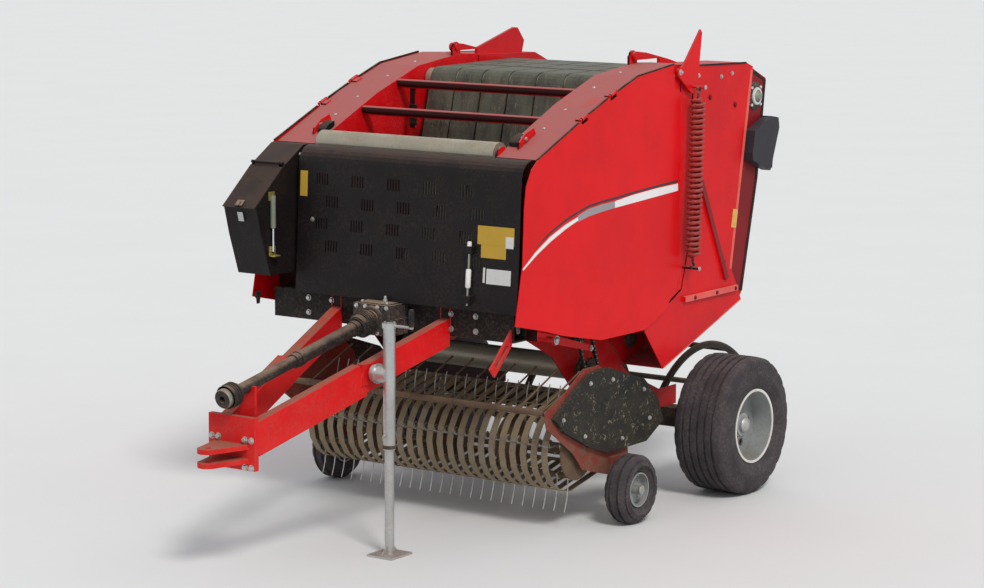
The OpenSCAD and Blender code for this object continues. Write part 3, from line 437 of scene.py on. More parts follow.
def tyre(node, body, centre, side, size, grooves, sides, zigzag):
    """A ribbed implement tyre: tread ribs between wavy grooves, scuff rings on the walls.

    size is the outer radius, the width and the bead's radius, and grooves are the middles of the grooves."""
    radius, width, bead = size
    w = width / 2
    wall = radius - bead
    half = [(bead, w - 0.040), (bead + 0.006, w - 0.026), (bead + 0.018, w - 0.022),
            (bead + 0.034, w - 0.010), (bead + wall * 0.36, w - 0.004), (bead + wall * 0.40, w),
            (bead + wall * 0.47, w), (bead + wall * 0.51, w - 0.004), (bead + wall * 0.70, w - 0.007),
            (radius - 0.036, w - 0.012), (radius - 0.030, w - 0.013), (radius - 0.014, w - 0.022),
            (radius - 0.004, w - 0.034)]
    tread = []
    top, floor, lip, foot = radius - 0.0006, radius - 0.012, 0.0085, 0.0055
    for g in grooves:
        tread += [(g + lip, top), (g + foot, floor), (g - foot, floor), (g - lip, top)]
    outer = [(y, r) for r, y in half] + tread + [(-y, r) for r, y in reversed(half)]
    inner = [(-w + 0.060, bead + 0.004), (-w + 0.030, radius - 0.060), (0, radius - 0.026),
             (w - 0.030, radius - 0.060), (w - 0.060, bead + 0.004)]
    edge = w - 0.036

    def shift(k, d, r):
        if abs(d) < edge and r > radius - 0.013:
            wave = zigzag * (1 if (k // 2) % 2 else -1)
            return d + wave, r
        if edge <= abs(d) and r > radius - 0.034 and (k % 4 == 0):
            return d * 0.985, r - 0.004
        return d, r

    form = Form()
    form.turned(centre, (0, side, 0), outer + inner, sides, shift)
    form.done("ribbed_" + node, rubber, body, "tyre_rubber", hide=(node,))


for word, s in SIDES:
    hub, gauge_hub = at(0, s * WHEEL_Y, TYRE_R), at(GAUGE_X, s * GAUGE_Y, GAUGE_R)
    wheel, gauge_wheel = "wheel_" + word[0], "gauge_wheel_" + word[0]
    tyre("tyre_" + word, wheel, hub, s, TYRE_SIZE, (0.094, 0.047, 0.0, -0.047, -0.094), 96, 0.0010)
    tyre("gauge_tyre_" + word, gauge_wheel, gauge_hub, s, GAUGE_SIZE, (0.026, -0.026), 64, 0.0)
    out = Vector((0, s, 0))
    form = Form()
    for spot in circle(hub, 0.078, 6, 30):
        spot += out * 0.024
        form.bolt(spot, out, 0.022, 0.014)
        form.knob(spot, out, head(0.0065, 0.024, 0.005, 0.014), 10)
    form.knob(hub + out * 0.0875, out, [(0, 0.044), (0.004, 0.044), (0.016, 0.034), (0.022, 0.012)], 28)
    form.knob(hub + Vector((0, 0, 0.155)) + out * 0.060, out + Vector((0, 0, -0.35)),
              [(0, 0.005), (0.030, 0.0045), (0.031, 0.003)], 8)
    form.done("wheel_nuts_" + word, zinc, wheel, "silver_paint")
    # A white ring on the rim's lip: painted highlight.
    form = Form()
    lip = [(0.1490, 0.2125), (0.1530, 0.2125), (0.1545, 0.2075), (0.1520, 0.1985), (0.1480, 0.1985)]
    form.turned(hub, out, lip, 64)
    form.done("rim_lip_highlight_" + word, white, wheel, "silver_paint")
    form = Form()
    form.knob(gauge_hub + out * 0.060, out, [(0, 0.026), (0.010, 0.026), (0.014, 0.020), (0.0145, 0.010)], 20)
    for spot in circle(gauge_hub, 0.062, 4, 45):
        form.bolt(spot + out * 0.012, out, 0.013, 0.006)
    form.done("gauge_hub_cap_" + word, zinc, gauge_wheel, "silver_paint")

# Tension springs

SPRING_TOP, SPRING_FOOT, SPRING_Y = (0.250, 2.310), (0.288, 1.325), 0.932
COILS, COIL_STEPS, COIL_R, WIRE_R = 30, 20, 0.044, 0.0095
HOOK_R, HOOK_WIRE_R = 0.015, 0.0075
form = Form()
hooks = Form()
for s in (1, -1):
    top = at(SPRING_TOP[0], s * SPRING_Y, SPRING_TOP[1])
    foot = at(SPRING_FOOT[0], s * SPRING_Y, SPRING_FOOT[1])
    way = (foot - top).normalized()
    length = (foot - top).length
    across = Vector(LEFT).cross(way).normalized()
    deep = way.cross(across)
    start, end = 0.045, length - 0.045
    path = [top + way * (start - 0.004)]
    steps = COILS * COIL_STEPS
    for i in range(steps + 1):
        t = 2 * pi * i / COIL_STEPS
        ease = min(1.0, i / 12, (steps - i) / 12)
        r = (COIL_R - WIRE_R) * ease
        path.append(top + way * (start + (end - start) * i / steps) + r * (cos(t) * across + sin(t) * deep))
    path.append(top + way * (end + 0.004))
    form.tube(path, WIRE_R, 8)
    for spot, turn in ((top, -1), (foot, 1)):
        loop = [spot - turn * way * 0.050, spot - turn * way * 0.020]
        loop += [spot + HOOK_R * (cos(a) * -turn * way + sin(a) * across)
                 for a in (radians(40 + 40 * k) for k in range(7))]
        hooks.tube(loop, HOOK_WIRE_R, 8)
form.done("coil_springs", springy, slot="red_paint", hide=("tension_springs",))
hooks.done("spring_hooks", cast)

# Reel

REEL_X, REEL_Z = 1.330, 0.430
PICKUP_HALF, BAR_HALF = 0.885, 0.852
TINE_SPAN = 2 * (PICKUP_HALF - 0.057)
TINES, BARS, BAR_R, BAR_THICK_R, REACH = 25, 4, 0.140, 0.016, 0.338 - 0.002
TINE_R, TINE_COIL_R, TINE_LAG = 0.0033, 0.021, radians(6)
SHAFT_HALF, SHAFT_R = PICKUP_HALF + 0.006, 0.025
form = Form()
tines = Form()
axis_y = Vector(LEFT)
form.knob(at(REEL_X, -SHAFT_HALF, REEL_Z), axis_y, [(0, SHAFT_R), (2 * SHAFT_HALF, SHAFT_R)], 24)
for y in (-BAR_HALF, -0.430, 0.0, 0.430, BAR_HALF):
    for half, r, sides in ((0.004, 0.160, 40), (0.020, 0.045, 24)):
        disc = [(-half, SHAFT_R), (half, SHAFT_R), (half, r), (-half, r)]
        form.turned(at(REEL_X, y, REEL_Z), axis_y, disc, sides)
for b in range(BARS):
    a = radians(360 / BARS * b + 20)
    radial = Vector((cos(a), 0, sin(a)))
    lag = Vector((sin(a), 0, -cos(a)))
    centre = at(REEL_X, 0, REEL_Z) + radial * BAR_R
    form.knob(centre - axis_y * BAR_HALF, axis_y, [(0, BAR_THICK_R), (2 * BAR_HALF, BAR_THICK_R)], 16)
    for i in range(TINES):
        y = -TINE_SPAN / 2 + TINE_SPAN * i / (TINES - 1)
        root = centre + axis_y * y
        coil = [root + axis_y * (0.016 - 0.006 * k / 4) + TINE_COIL_R * (
            cos(radians(90 * k)) * radial + sin(radians(90 * k)) * lag) for k in range(9)]
        end = at(REEL_X, y, REEL_Z) + REACH * (radial * cos(TINE_LAG) + lag * sin(TINE_LAG))
        bend = [coil[-1].lerp(end, f) + lag * 0.012 * sin(pi * f) for f in (0.15, 0.35, 0.55, 0.75, 0.9)]
        tines.tube(coil + bend + [end], TINE_R, 6)
form.done("reel_core", earthy, "reel", hide=("pickup_reel",))
tines.done("spring_tines", zinc, "reel")

# Side shields

STRIPE_Y = 0.8803
stripe_low = [(1.893, 1.478), (1.776, 1.548), (1.640, 1.612), (1.500, 1.662), (1.380, 1.694)]
stripe_mid = [(1.380, 1.694), (1.278, 1.716), (1.150, 1.728), (1.020, 1.735)]
stripe_rear = [(1.020, 1.735), (0.850, 1.748), (0.600, 1.762), (0.372, 1.772)]
for word, s in SIDES:
    ys = both(s, STRIPE_Y, STRIPE_Y + 0.0006)
    for part, line, wide, mat in (
            ("white", stripe_low, [0.010, 0.020, 0.026, 0.024, 0.020], stripe_white),
            ("grey", stripe_mid, [0.034, 0.040, 0.040, 0.036], stripe_grey),
            ("rear", stripe_rear, [0.036, 0.044, 0.046, 0.040], stripe_white)):
        form = Form()
        form.plate(band(line, wide), *ys)
        form.done("stripe_%s_%s" % (part, word), mat, "door_" + word, "red_paint", smooth=False)
    form = Form()
    shade = [(x, z + 0.034) for x, z in stripe_low[1:] + stripe_mid[1:] + stripe_rear[1:]]
    form.plate(band(shade, [0.004] + [0.012] * (len(shade) - 1)), *ys)
    form.done("stripe_dark_" + word, stripe_dark, "door_" + word, "dark_paint", smooth=False)

# Shroud

def shroud_x(z):
    """The shroud's outer face at a height below its rounded top."""
    if z < 1.5:
        return 1.905 + (1.5 - z) / 0.26 * 0.020
    return 1.886 + (1.92 - z) / 0.42 * 0.019


def on_shroud(form, y0, y1, z0, z1, thick):
    x0, x1 = shroud_x(z0), shroud_x(z1)
    form.plate([(x0 - 0.002, z0), (x0 + thick, z0), (x1 + thick, z1), (x1 - 0.002, z1)], y0, y1)


for name, box, mat in (
        ("plate_yellow", (0.598, 0.829, 1.592, 1.690), yellow),
        ("plate_yellow_low", (0.622, 0.780, 1.523, 1.592), yellow),
        ("plate_strip", (-0.590, -0.540, 1.762, 1.900), yellow),
        ("plate_silver", (0.662, 0.816, 1.389, 1.468), label),
        ("plate_silver_edge", (0.640, 0.653, 1.393, 1.472), label)):
    form = Form()
    on_shroud(form, *box, 0.0012)
    form.done(name, mat, SHROUD, "dark_paint", soften=0.0004)
form = Form()
on_shroud(form, 0.776, 0.826, 1.582, 1.642, 0.0016)
form.done("plate_patch", label, SHROUD, "dark_paint", soften=0.0004)
LATCH_Y = 0.560
form = Form()
for z in (1.300, 1.560):
    x = shroud_x(z)
    form.block((x - 0.003, LATCH_Y - 0.022, z - 0.020), (x + 0.030, LATCH_Y + 0.022, z + 0.020))
form.done("latch_brackets", black, SHROUD, "dark_paint", soften=0.002)


def along_latch(*heights):
    return [at(shroud_x(z) + 0.018, LATCH_Y, z) for z in heights]


form = Form()
form.tube(along_latch(1.360, 1.366, 1.454, 1.460), [0.010, 0.0145, 0.0145, 0.010], 14)
form.tube(along_latch(1.568, 1.572, 1.600, 1.604), [0.008, 0.012, 0.012, 0.008], 14)
form.done("latch_sleeve", white, SHROUD, "silver_paint")
form = Form()
form.tube(along_latch(1.268, 1.480, 1.596), 0.0062, 10)
form.bolt(at(shroud_x(1.640), -0.500, 1.640), AHEAD, 0.018, 0.008)
form.done("latch_rod", steel, SHROUD, "silver_paint")

# Tailgate

form = Form()
for s in (1, -1):
    ys = both(s, 0.8700, 0.8738)
    form.plate([(-0.289, 1.474), (-0.236, 1.484), (-0.256, 1.590), (-0.309, 1.580)], *ys)
form.done("side_reflectors", yellow_lens, GATE, "dark_plastic", soften=0.0004)

bolts, dark_bolts = Form(), Form()
for s in (1, -1):
    out = (0, s, 0)
    for x, z in ((-0.220, 2.372), (0.150, 2.380), (-0.100, 2.360)):
        bolts.bolt(at(x, s * FRAME_OUT, z), out, 0.018, 0.007)
    for x, z in ((0.020, 2.250), (-0.260, 2.190), (0.120, 1.720), (-0.160, 1.290)):
        dark_bolts.bolt(at(x, s * FRAME_OUT, z), out, 0.022, 0.007)
    for x in (-0.270, -0.060, 0.180):
        dark_bolts.bolt(at(x, s * 0.8884, 1.127), out, 0.016, 0.006)
bolts.done("gate_bolts", zinc, GATE)
dark_bolts.done("gate_side_bolts", band_shade_red, GATE, "red_paint")
form = Form()
ring, core = Form(), Form()
for s in (1, -1):
    out = Vector((0, s, 0))
    c = at(-0.510, s * 0.852, 2.223)
    form.knob(c, out, [(-0.0005, 0.082), (0.006, 0.082), (0.012, 0.066), (0.016, 0.060), (0.0165, 0.050)], 32)
    ring.turned(c, out, [(0.014, 0.036), (0.016, 0.052), (0.024, 0.050), (0.026, 0.036)], 32)
    core.knob(c, out, [(0.012, 0.037), (0.022, 0.034), (0.030, 0.026), (0.040, 0.020), (0.042, 0.012)], 24)
    for spot in circle(c, 0.070, 4, 45):
        ring.bolt(spot + out * 0.009, out, 0.016, 0.008, False)
form.done("gate_bearings", cast, GATE)
ring.done("gate_bearing_rings", label, GATE)
core.done("gate_bearing_cores", grey_green, GATE)

# Tail lamp lenses on the rear faces and the outer corners
LAMP_TOP, LAMP_FOOT = (-0.6655, 2.0944), (-0.6243, 1.7972)
CORNER_TOP, CORNER_FOOT = (-0.702, 2.030), (-0.630, 1.845)
for name, mat, f0, f1 in (
        ("amber", amber_lens, 0.06, 0.34), ("red", red_lens, 0.36, 0.66), ("clear", clear_lens, 0.68, 0.92)):
    form = Form()
    for s in (1, -1):
        sheet_on(form, LAMP_TOP, LAMP_FOOT, f0, f1, -0.001, -0.007, *both(s, 0.748, 0.842))
    form.done("tail_lens_" + name, mat, GATE, "dark_plastic", soften=0.0015)
form = Form()
for s in (1, -1):
    sheet_on(form, CORNER_TOP, CORNER_FOOT, 0.10, 0.90, -0.0005, -0.004, *both(s, 0.866, 0.902))
form.done("rear_reflectors", red_lens, GATE, "dark_plastic", soften=0.001)

# Belts and rollers

BELTS, BELT_W, BELT_PITCH = 6, 0.172, 0.184
LACES, LACE_HALF, LACE_R = 14, 0.016, 0.0022
LIVE_R, DEAD_R, FLANGE_R = 0.0205, 0.012, 0.056
UPPER_ROLLER, LOWER_ROLLER, DRIVE_SHAFT = (1.010, 1.040), (0.930, 0.800), (1.600, 1.180)

lacing = Form()
for p, q, share in (((1.076, 1.056), (0.756, 2.3464), 0.800), ((0.690, 2.398), (-0.060, 2.408), 0.300)):
    way, left = toward(p, q)
    long = (Vector(q) - Vector(p)).length
    for i in range(BELTS):
        y = (i - (BELTS - 1) / 2) * BELT_PITCH
        middle = Vector(p) + way * long * (share + 0.012 * (i % 3))
        for k in range(LACES):
            yy = y - BELT_W / 2 + 0.009 + (BELT_W - 0.018) * k / (LACES - 1)
            a, b = middle - way * LACE_HALF, middle + way * LACE_HALF
            lift = left * -0.0010
            lacing.tube([at(v.x, yy, v.y) for v in (a, a + lift, b + lift, b)], LACE_R, 6)
lacing.done("belt_lacing", oily)


def flange_bearing(form, x, y, z, s, r_in, r_out):
    out = Vector((0, s, 0))
    c = at(x, y, z)
    form.turned(c, out, [(-0.0005, r_in), (-0.0005, r_out), (0.007, r_out), (0.012, r_out * 0.76),
                         (0.022, r_out * 0.66), (0.024, r_in + 0.004), (0.020, r_in)], 28)
    for spot in circle(c, r_out * 0.86, 4, 45):
        form.bolt(spot + out * 0.006, out, 0.013, 0.007, False)


def dead_bearing(form, x, z, s):
    """A flange bearing on the chamber's wall with the end of a fixed axle in it."""
    flange_bearing(form, x, s * WALL_OUT, z, s, DEAD_R, FLANGE_R)
    form.knob(at(x, s * WALL_OUT, z), (0, s, 0), head(0.0125, 0.027, 0.010, 0.002), 16)


ROLLERS = ((0.690, 2.330), (0.760, 1.480), (0.613, 2.130), (0.480, 1.480), UPPER_ROLLER, LOWER_ROLLER)
GATE_ROLLER = (0.420, 0.900)
form = Form()
gate_form = Form()
for s in (1, -1):
    for x, z in ROLLERS:
        if s > 0 and z < 1.2:
            flange_bearing(form, x, WALL_OUT, z, s, LIVE_R, FLANGE_R)
        else:
            dead_bearing(form, x, z, s)
    flange_bearing(form, 1.690, s * (CHAMBER - 0.026), 2.040, s, LIVE_R, 0.062)
    dead_bearing(gate_form, *GATE_ROLLER, s)
flange_bearing(form, DRIVE_SHAFT[0], WALL_OUT, DRIVE_SHAFT[1], 1, LIVE_R, 0.052)
form.done("roller_bearings", cast)
gate_form.done("gate_roller_bearings", cast, GATE)

# Latch blocks at the ends of the front roller
red_parts, dark_parts, bright_parts = Form(), Form(), Form()
for s in (1, -1):
    y0, y1 = both(s, 0.612, 0.668)
    dark_parts.plate([(1.560, 2.118), (1.640, 2.083), (1.640, 2.104), (1.615, 2.128), (1.560, 2.146)], y0, y1)
    y0, y1 = both(s, 0.680, 0.690)
    red_parts.plate([(1.500, 2.144), (1.660, 2.073), (1.652, 2.108), (1.600, 2.150), (1.520, 2.176)], y0, y1)
    bright_parts.knob(at(1.600, s * 0.668, 2.122), (0, s, 0), head(0.011, 0.030, 0.008, -0.004), 14)
    bright_parts.bolt(at(1.545, s * 0.640, 2.134), (0.40, 0, 0.92), 0.016, 0.008)
red_parts.done("roller_latches", paint_dusty_shaded, slot="red_paint", soften=0.0012)
dark_parts.done("roller_latch_blocks", black, slot="dark_paint", soften=0.002)
bright_parts.done("roller_latch_pins", zinc)

# Door seals, and painted highlights and shade along the gate's edges
DOOR_TOP = [(1.7635, 2.0365), (1.190, 2.2805), (0.800, 2.4135), (0.428, 2.4575)]
HINGE_X, HINGE_GAP = (1.050, 1.330), 0.050


def door_top(x):
    """The height of the door's top edge."""
    for (x1, z1), (x0, z0) in zip(DOOR_TOP, DOOR_TOP[1:]):
        if x0 <= x <= x1:
            return z0 + (z1 - z0) * (x - x0) / (x1 - x0)


rear, fore = HINGE_X
SEAL_RUNS = ((DOOR_TOP[0][0], fore + HINGE_GAP), (fore - HINGE_GAP, rear + HINGE_GAP),
             (rear - HINGE_GAP, DOOR_TOP[2][0], DOOR_TOP[3][0]))
for word, s in SIDES:
    form = Form()
    for run in SEAL_RUNS:
        form.plate(band([(x, door_top(x) + 0.0015) for x in run], 0.008), *both(s, 0.8730, 0.8812))
    form.done("door_seal_" + word, black_rubber_and_shade, "door_" + word, "dark_plastic")
shade_strips, edges, shadow = Form(), Form(), Form()
for s in (1, -1):
    y0, y1 = both(s, 0.8500, 0.8555)
    # Black strips along the gate's rear edge and under its top edge: painted shade in the gaps there.
    shade_strips.plate(band([(-0.444, 2.388), (-0.6255, 2.309), (-0.5475, 1.744), (-0.3895, 1.097)], 0.024), y0, y1)
    shade_strips.plate(band([(0.196, 2.4385), (-0.378, 2.4235)], 0.010), *both(s, 0.8640, 0.8745))
    # A dark red sheet over the recessed rear band: painted shade.
    shadow.plate([(-0.452, 2.392), (-0.634, 2.316), (-0.555, 1.744), (-0.397, 1.094), (-0.335, 1.094),
                  (-0.256, 1.240)], *both(s, 0.8519, 0.8526))
    # Pale strips on the rear edge, the lower edge and the rib: painted highlight.
    edges.plate(band([(-0.4445, 2.380), (-0.2375, 1.242)], 0.026), *both(s, 0.8698, 0.8712))
    edges.plate(band([(-0.3605, 1.0510), (0.4840, 0.7640)], 0.007), *both(s, 0.8480, 0.8712))
    rib = [(-0.300, 1.112), (0.285, 1.112), (0.285, 1.1428), (-0.300, 1.1428)]
    edges.plate(rib, *both(s, 0.8700, 0.8888))
shade_strips.done("gate_shade_strips", black_rubber_and_shade, GATE, "dark_plastic")
edges.done("gate_edge_highlights", edge_highlight_red, GATE, "red_paint")
shadow.done("gate_rear_band_shade", band_shade_red, GATE, "red_paint")
# Dark red faces on the gate's diagonal brace: painted shade.
form = Form()
for s in (1, -1):
    form.plate([(0.148, 1.880), (-0.198, 1.200), (-0.1677, 1.1846), (0.1783, 1.8646)],
               *both(s, 0.8800, 0.8848))
form.done("gate_diagonal_faces", diagonal_shade_red, GATE, "red_paint")

# Small gussets that close the corners between the post and the door
form = Form()
for s in (1, -1):
    ys = both(s, 0.8655, 0.8695)
    form.plate([(0.315, 1.190), (0.345, 1.264), (0.352, 1.264), (0.462, 1.122), (0.462, 1.121)], *ys)
    form.plate([(0.346, 2.300), (0.346, 2.376), (0.428, 2.376), (0.428, 2.332), (0.352, 2.302)], *ys)
form.done("corner_gussets", paint, slot="red_paint")

# Drive chains

CHAIN_PITCH, LINK_R = 0.0254, 0.0095


def chain_loop(a, teeth_a, b, teeth_b):
    """Points one pitch apart round two toothed wheels."""
    a, b = Vector(a), Vector(b)
    ra, rb = (CHAIN_PITCH / 2 / sin(pi / teeth) for teeth in (teeth_a, teeth_b))
    gap = b - a
    phi = atan2(gap.y, gap.x)
    beta = acos((ra - rb) / gap.length)
    path = [a + ra * Vector((cos(t), sin(t)))
            for t in (phi + beta + (2 * pi - 2 * beta) * k / 24 for k in range(25))]
    path += [b + rb * Vector((cos(t), sin(t)))
             for t in (phi - beta + 2 * beta * k / 24 for k in range(25))]
    path.append(path[0])
    steps = [(q - p).length for p, q in zip(path, path[1:])]
    total = sum(steps)
    count = round(total / CHAIN_PITCH)
    spots, walked, k = [], 0.0, 0
    for i in range(count):
        want = total * i / count
        while walked + steps[k] < want:
            walked += steps[k]
            k += 1
        spots.append(path[k].lerp(path[k + 1], (want - walked) / max(steps[k], 1e-9)))
    return spots


links, pins = Form(), Form()
for y, a, teeth_a, b, teeth_b in (
        (0.644, DRIVE_SHAFT, 13, UPPER_ROLLER, 21), (0.678, UPPER_ROLLER, 15, LOWER_ROLLER, 15)):
    spots = chain_loop(a, teeth_a, b, teeth_b)
    for i, p in enumerate(spots):
        q = spots[(i + 1) % len(spots)]
        pins.knob(at(p.x, y - 0.0112, p.y), LEFT,
                  [(0, 0.0030), (0.001, 0.0040), (0.0214, 0.0040), (0.0224, 0.0030)], 10)
        if i % 2 == 0:
            way, left = toward(p, q)
            for s in (1, -1):
                y0, y1 = sorted((y + s * 0.0079, y + s * 0.0100))
                ring = [end + LINK_R * (cos(t) * way + sin(t) * left) for end, first in ((p, 90), (q, -90))
                        for t in (radians(first + 30 * k) for k in range(7))]
                links.plate([tuple(v) for v in ring], y0, y1)
links.done("chain_links", oily)
pins.done("chain_pins", zinc)

# Gearbox, driveline and jack

form = Form()
for s in (1, -1):
    for x in (1.905, 1.960, 2.010):
        y0, y1 = both(s, 0.119, 0.128)
        form.plate([(x - 0.005, 1.078), (x + 0.005, 1.078), (x + 0.005, 1.226), (x - 0.005, 1.226)], y0, y1)
form.block((1.868, -0.124, 1.146), (2.026, 0.124, 1.158))
form.block((1.880, -0.100, 1.234), (2.012, 0.100, 1.241))
form.knob(at(2.010, 0, 1.150), AHEAD, [(0, 0.078), (0.024, 0.078), (0.030, 0.068)], 32)
form.done("gearbox_ribs", cast, slot="dark_paint", soften=0.002)
form = Form()
for y in (-0.100, -0.040, 0.040, 0.100):
    for z in (1.084, 1.221):
        form.bolt(at(2.030, y, z), AHEAD, 0.017, 0.008)
for x in (1.895, 1.998):
    for y in (-0.082, 0.082):
        form.bolt(at(x, y, 1.241), UP, 0.015, 0.008)
filler = [(0, 0.014), (0.012, 0.014), (0.014, 0.009), (0.030, 0.009), (0.033, 0.006)]
form.knob(at(1.945, 0.030, 1.240), UP, filler, 16)
for y in (-0.560, -0.400, 0.400, 0.560):
    for z in (1.120, 1.200):
        form.bolt(at(1.860, y, z), AHEAD, 0.022, 0.011)
form.done("gearbox_bolts", zinc)

SHAFT_BACK, SHAFT_FRONT = at(2.050, 0, 1.150), at(3.250, 0, 0.905)
shaft_way = (SHAFT_FRONT - SHAFT_BACK).normalized()
shaft_len = (SHAFT_FRONT - SHAFT_BACK).length


def on_shaft(form, profile, sides=36):
    form.turned(SHAFT_BACK, shaft_way, profile, sides)


form = Form()
on_shaft(form, [(0.108, 0.046), (0.104, 0.056), (0.086, 0.062), (0.020, 0.067), (0.020, 0.064),
                (0.084, 0.059), (0.100, 0.050)])
for d in (0.030, 0.044, 0.058, 0.072):
    on_shaft(form, [(d, 0.064), (d + 0.003, 0.0700), (d + 0.006, 0.0700), (d + 0.009, 0.064)])
for d in (0.120, 0.590):
    on_shaft(form, [(d, 0.036), (d + 0.002, 0.0425), (d + 0.026, 0.0425), (d + 0.028, 0.036)], 32)
on_shaft(form, [(0.636, 0.030), (0.636, 0.0405), (0.652, 0.0385), (0.656, 0.030)], 32)
front = shaft_len - 0.112
cup = ((-0.008, 0.030), (-0.004, 0.047), (0.010, 0.055), (0.082, 0.062), (0.082, 0.059), (0.012, 0.051),
       (0.004, 0.045))
on_shaft(form, [(front + d, r) for d, r in cup])
for d in (0.020, 0.036, 0.052):
    near = front + d
    on_shaft(form, [(near, 0.0555), (near + 0.003, 0.0640), (near + 0.006, 0.0640), (near + 0.009, 0.0560)])
form.done("driveline_guard", plastic, slot="dark_plastic")
form = Form()
_, out, other = around(shaft_way)
for k in range(4):
    t = radians(45 + 90 * k)
    spot = cos(t) * out + sin(t) * other
    form.knob(SHAFT_BACK + shaft_way * (shaft_len - 0.016) + spot * 0.0455, spot,
              [(0, 0.009), (0.004, 0.009), (0.0065, 0.005)], 12)
on_shaft(form, [(shaft_len - 0.030, 0.0450), (shaft_len - 0.028, 0.0505), (shaft_len - 0.006, 0.0505),
                (shaft_len - 0.002, 0.0460)])
form.done("driveline_collar", steel)

JACK_X, JACK_Y, JACK_PIVOT_Z = 2.400, 0.400, 0.950
form = Form()
form.knob(at(JACK_X, JACK_Y + 0.142, 1.212), UP,
          [(0, 0.013), (0.006, 0.0155), (0.080, 0.0155), (0.090, 0.012)], 20)
form.turned(at(JACK_X, JACK_Y, 0), UP, [(0.566, 0.031), (0.566, 0.0355), (0.584, 0.0355), (0.586, 0.031)], 32)
form.done("jack_grip", plastic, "jack", "dark_plastic")
form = Form()
for s in (1, -1):
    form.knob(at(JACK_X + s * 0.031, JACK_Y, 0.640), (s, 0, 0), head(0.008, 0.016, 0.006), 14)
    form.plate([(JACK_X + s * 0.024, 0.012), (JACK_X + s * 0.070, 0.012), (JACK_X + s * 0.024, 0.060)],
               JACK_Y - 0.003, JACK_Y + 0.003)
ring = [at(JACK_X + 0.046 + 0.014 * cos(t), JACK_Y, 0.626 + 0.014 * sin(t)) for t in turns(12)]
form.tube(ring, 0.0018, 6, closed=True)
for k in range(3):
    t = radians(120 * k + 30)
    form.bolt(at(JACK_X + 0.028 * cos(t), JACK_Y + 0.028 * sin(t), 1.220), UP, 0.010, 0.005, False)
form.turned(at(JACK_X, 0, JACK_PIVOT_Z), LEFT, hoop(0.322, 0.334, 0.0445, 0.0520), 32)
form.done("jack_fittings", zinc, "jack", soften=0.0004)
form = Form()
form.knob(at(JACK_X, 0.320, JACK_PIVOT_Z), LEFT, head(0.010, 0.004, 0.006), 16)
for y in (-0.128, -0.086, 0.086, 0.128):
    for z in (0.560, 0.700):
        form.bolt(at(3.180, y, z), AHEAD, 0.024, 0.012)
form.done("drawbar_bolts", zinc)

# Lift linkage and cylinders

form = Form()
for x, z, y, r in ((1.445, 1.043, 0.792, 0.016), (1.106, 0.953, 0.792, 0.009)):
    form.knob(at(x, y - 0.001, z), LEFT, head(r, 0.010, r * 0.8), 18)
    form.turned(at(x, y, z), LEFT, hoop(-0.0003, 0.003, r, r * 1.6), 20)
form.done("lift_pins", zinc)

CYL_FOOT, CYL_HEAD, CYL_Y = (0.600, 1.450), (0.000, 2.150), 0.740
cyl_way, cyl_side = toward(CYL_FOOT, CYL_HEAD)
cyl_axis, cyl_out = Vector((cyl_way.x, 0, cyl_way.y)), Vector((cyl_side.x, 0, cyl_side.y))
form = Form()
for word, s in SIDES:
    foot = at(CYL_FOOT[0], s * CYL_Y, CYL_FOOT[1])
    gland = Form()
    nut = [(-0.034, 0.0395), (-0.034, 0.0440), (0.001, 0.0440), (0.005, 0.0370), (0.005, 0.0250),
           (0.0003, 0.0250), (0.0003, 0.0395)]
    gland.turned(foot + cyl_axis * 0.700, cyl_axis, nut, 32)
    for d in (0.075, 0.640):
        port = [(0, 0.015), (0.016, 0.015), (0.016, 0.011), (0.030, 0.011)]
        gland.knob(foot + cyl_axis * d - cyl_out * 0.038, -cyl_out, port, 14)
    gland.done("gate_gland_" + word, black_low, "gate_barrel_" + word[0], "dark_paint")
    form.knob(foot + Vector((0, s * 0.0315, 0)), (0, s, 0), head(0.0215, 0.006, 0.018), 20)
    form.bolt(foot + Vector((0, s * 0.0385, 0)), (0, s, 0), 0.016, 0.007)
form.done("gate_cylinder_pins", zinc)

# Twine box

BOX_IN, ACTUATOR_X = -0.640, 2.080
LID_TOP, LID_FOOT = (1.964, 1.930), (2.2187, 1.7129)
form = Form()
sheet_on(form, LID_TOP, LID_FOOT, 0.860, 0.985, 0.0095, 0.006, -0.778, -0.728)
sheet_on(form, LID_TOP, LID_FOOT, 0.900, 1.000, 0.0155, 0.007, -0.762, -0.744)
form.done("lid_latch", cast, "box_lid", "dark_paint", soften=0.0015)
form = Form()
form.plate([(2.190, 1.640), (2.196, 1.639), (2.209, 1.690), (2.203, 1.691)], -0.772, -0.734)
form.done("lid_catch", zinc, soften=0.001)
form = Form()
form.knob(at(ACTUATOR_X, BOX_IN + 0.013, 1.598), UP,
          [(0, 0.010), (0.003, 0.0148), (0.176, 0.0148), (0.181, 0.010)], 20)
form.done("actuator_sleeve", grey_green, slot="silver_paint")
form = Form()
form.knob(at(ACTUATOR_X, BOX_IN + 0.013, 1.472), UP, [(0, 0.0078), (0.128, 0.0078)], 16)
form.done("actuator_rod", chrome, slot="silver_paint")
form = Form()
form.block((2.052, BOX_IN + 0.0003, 1.446), (2.104, BOX_IN + 0.006, 1.500))
form.block((2.052, BOX_IN + 0.0003, 1.446), (2.104, BOX_IN + 0.040, 1.452))
form.block((2.056, BOX_IN + 0.0003, 1.748), (2.104, BOX_IN + 0.006, 1.796))
form.done("actuator_brackets", passivated, soften=0.001)
form = Form()
for z in (1.385, 1.600, 1.980):
    for x in (1.770, 1.830):
        form.bolt(at(x, BOX_IN, z), LEFT, 0.015, 0.007)
form.done("box_bolts", zinc)

# Fasteners on the doors, the pickup and the frame

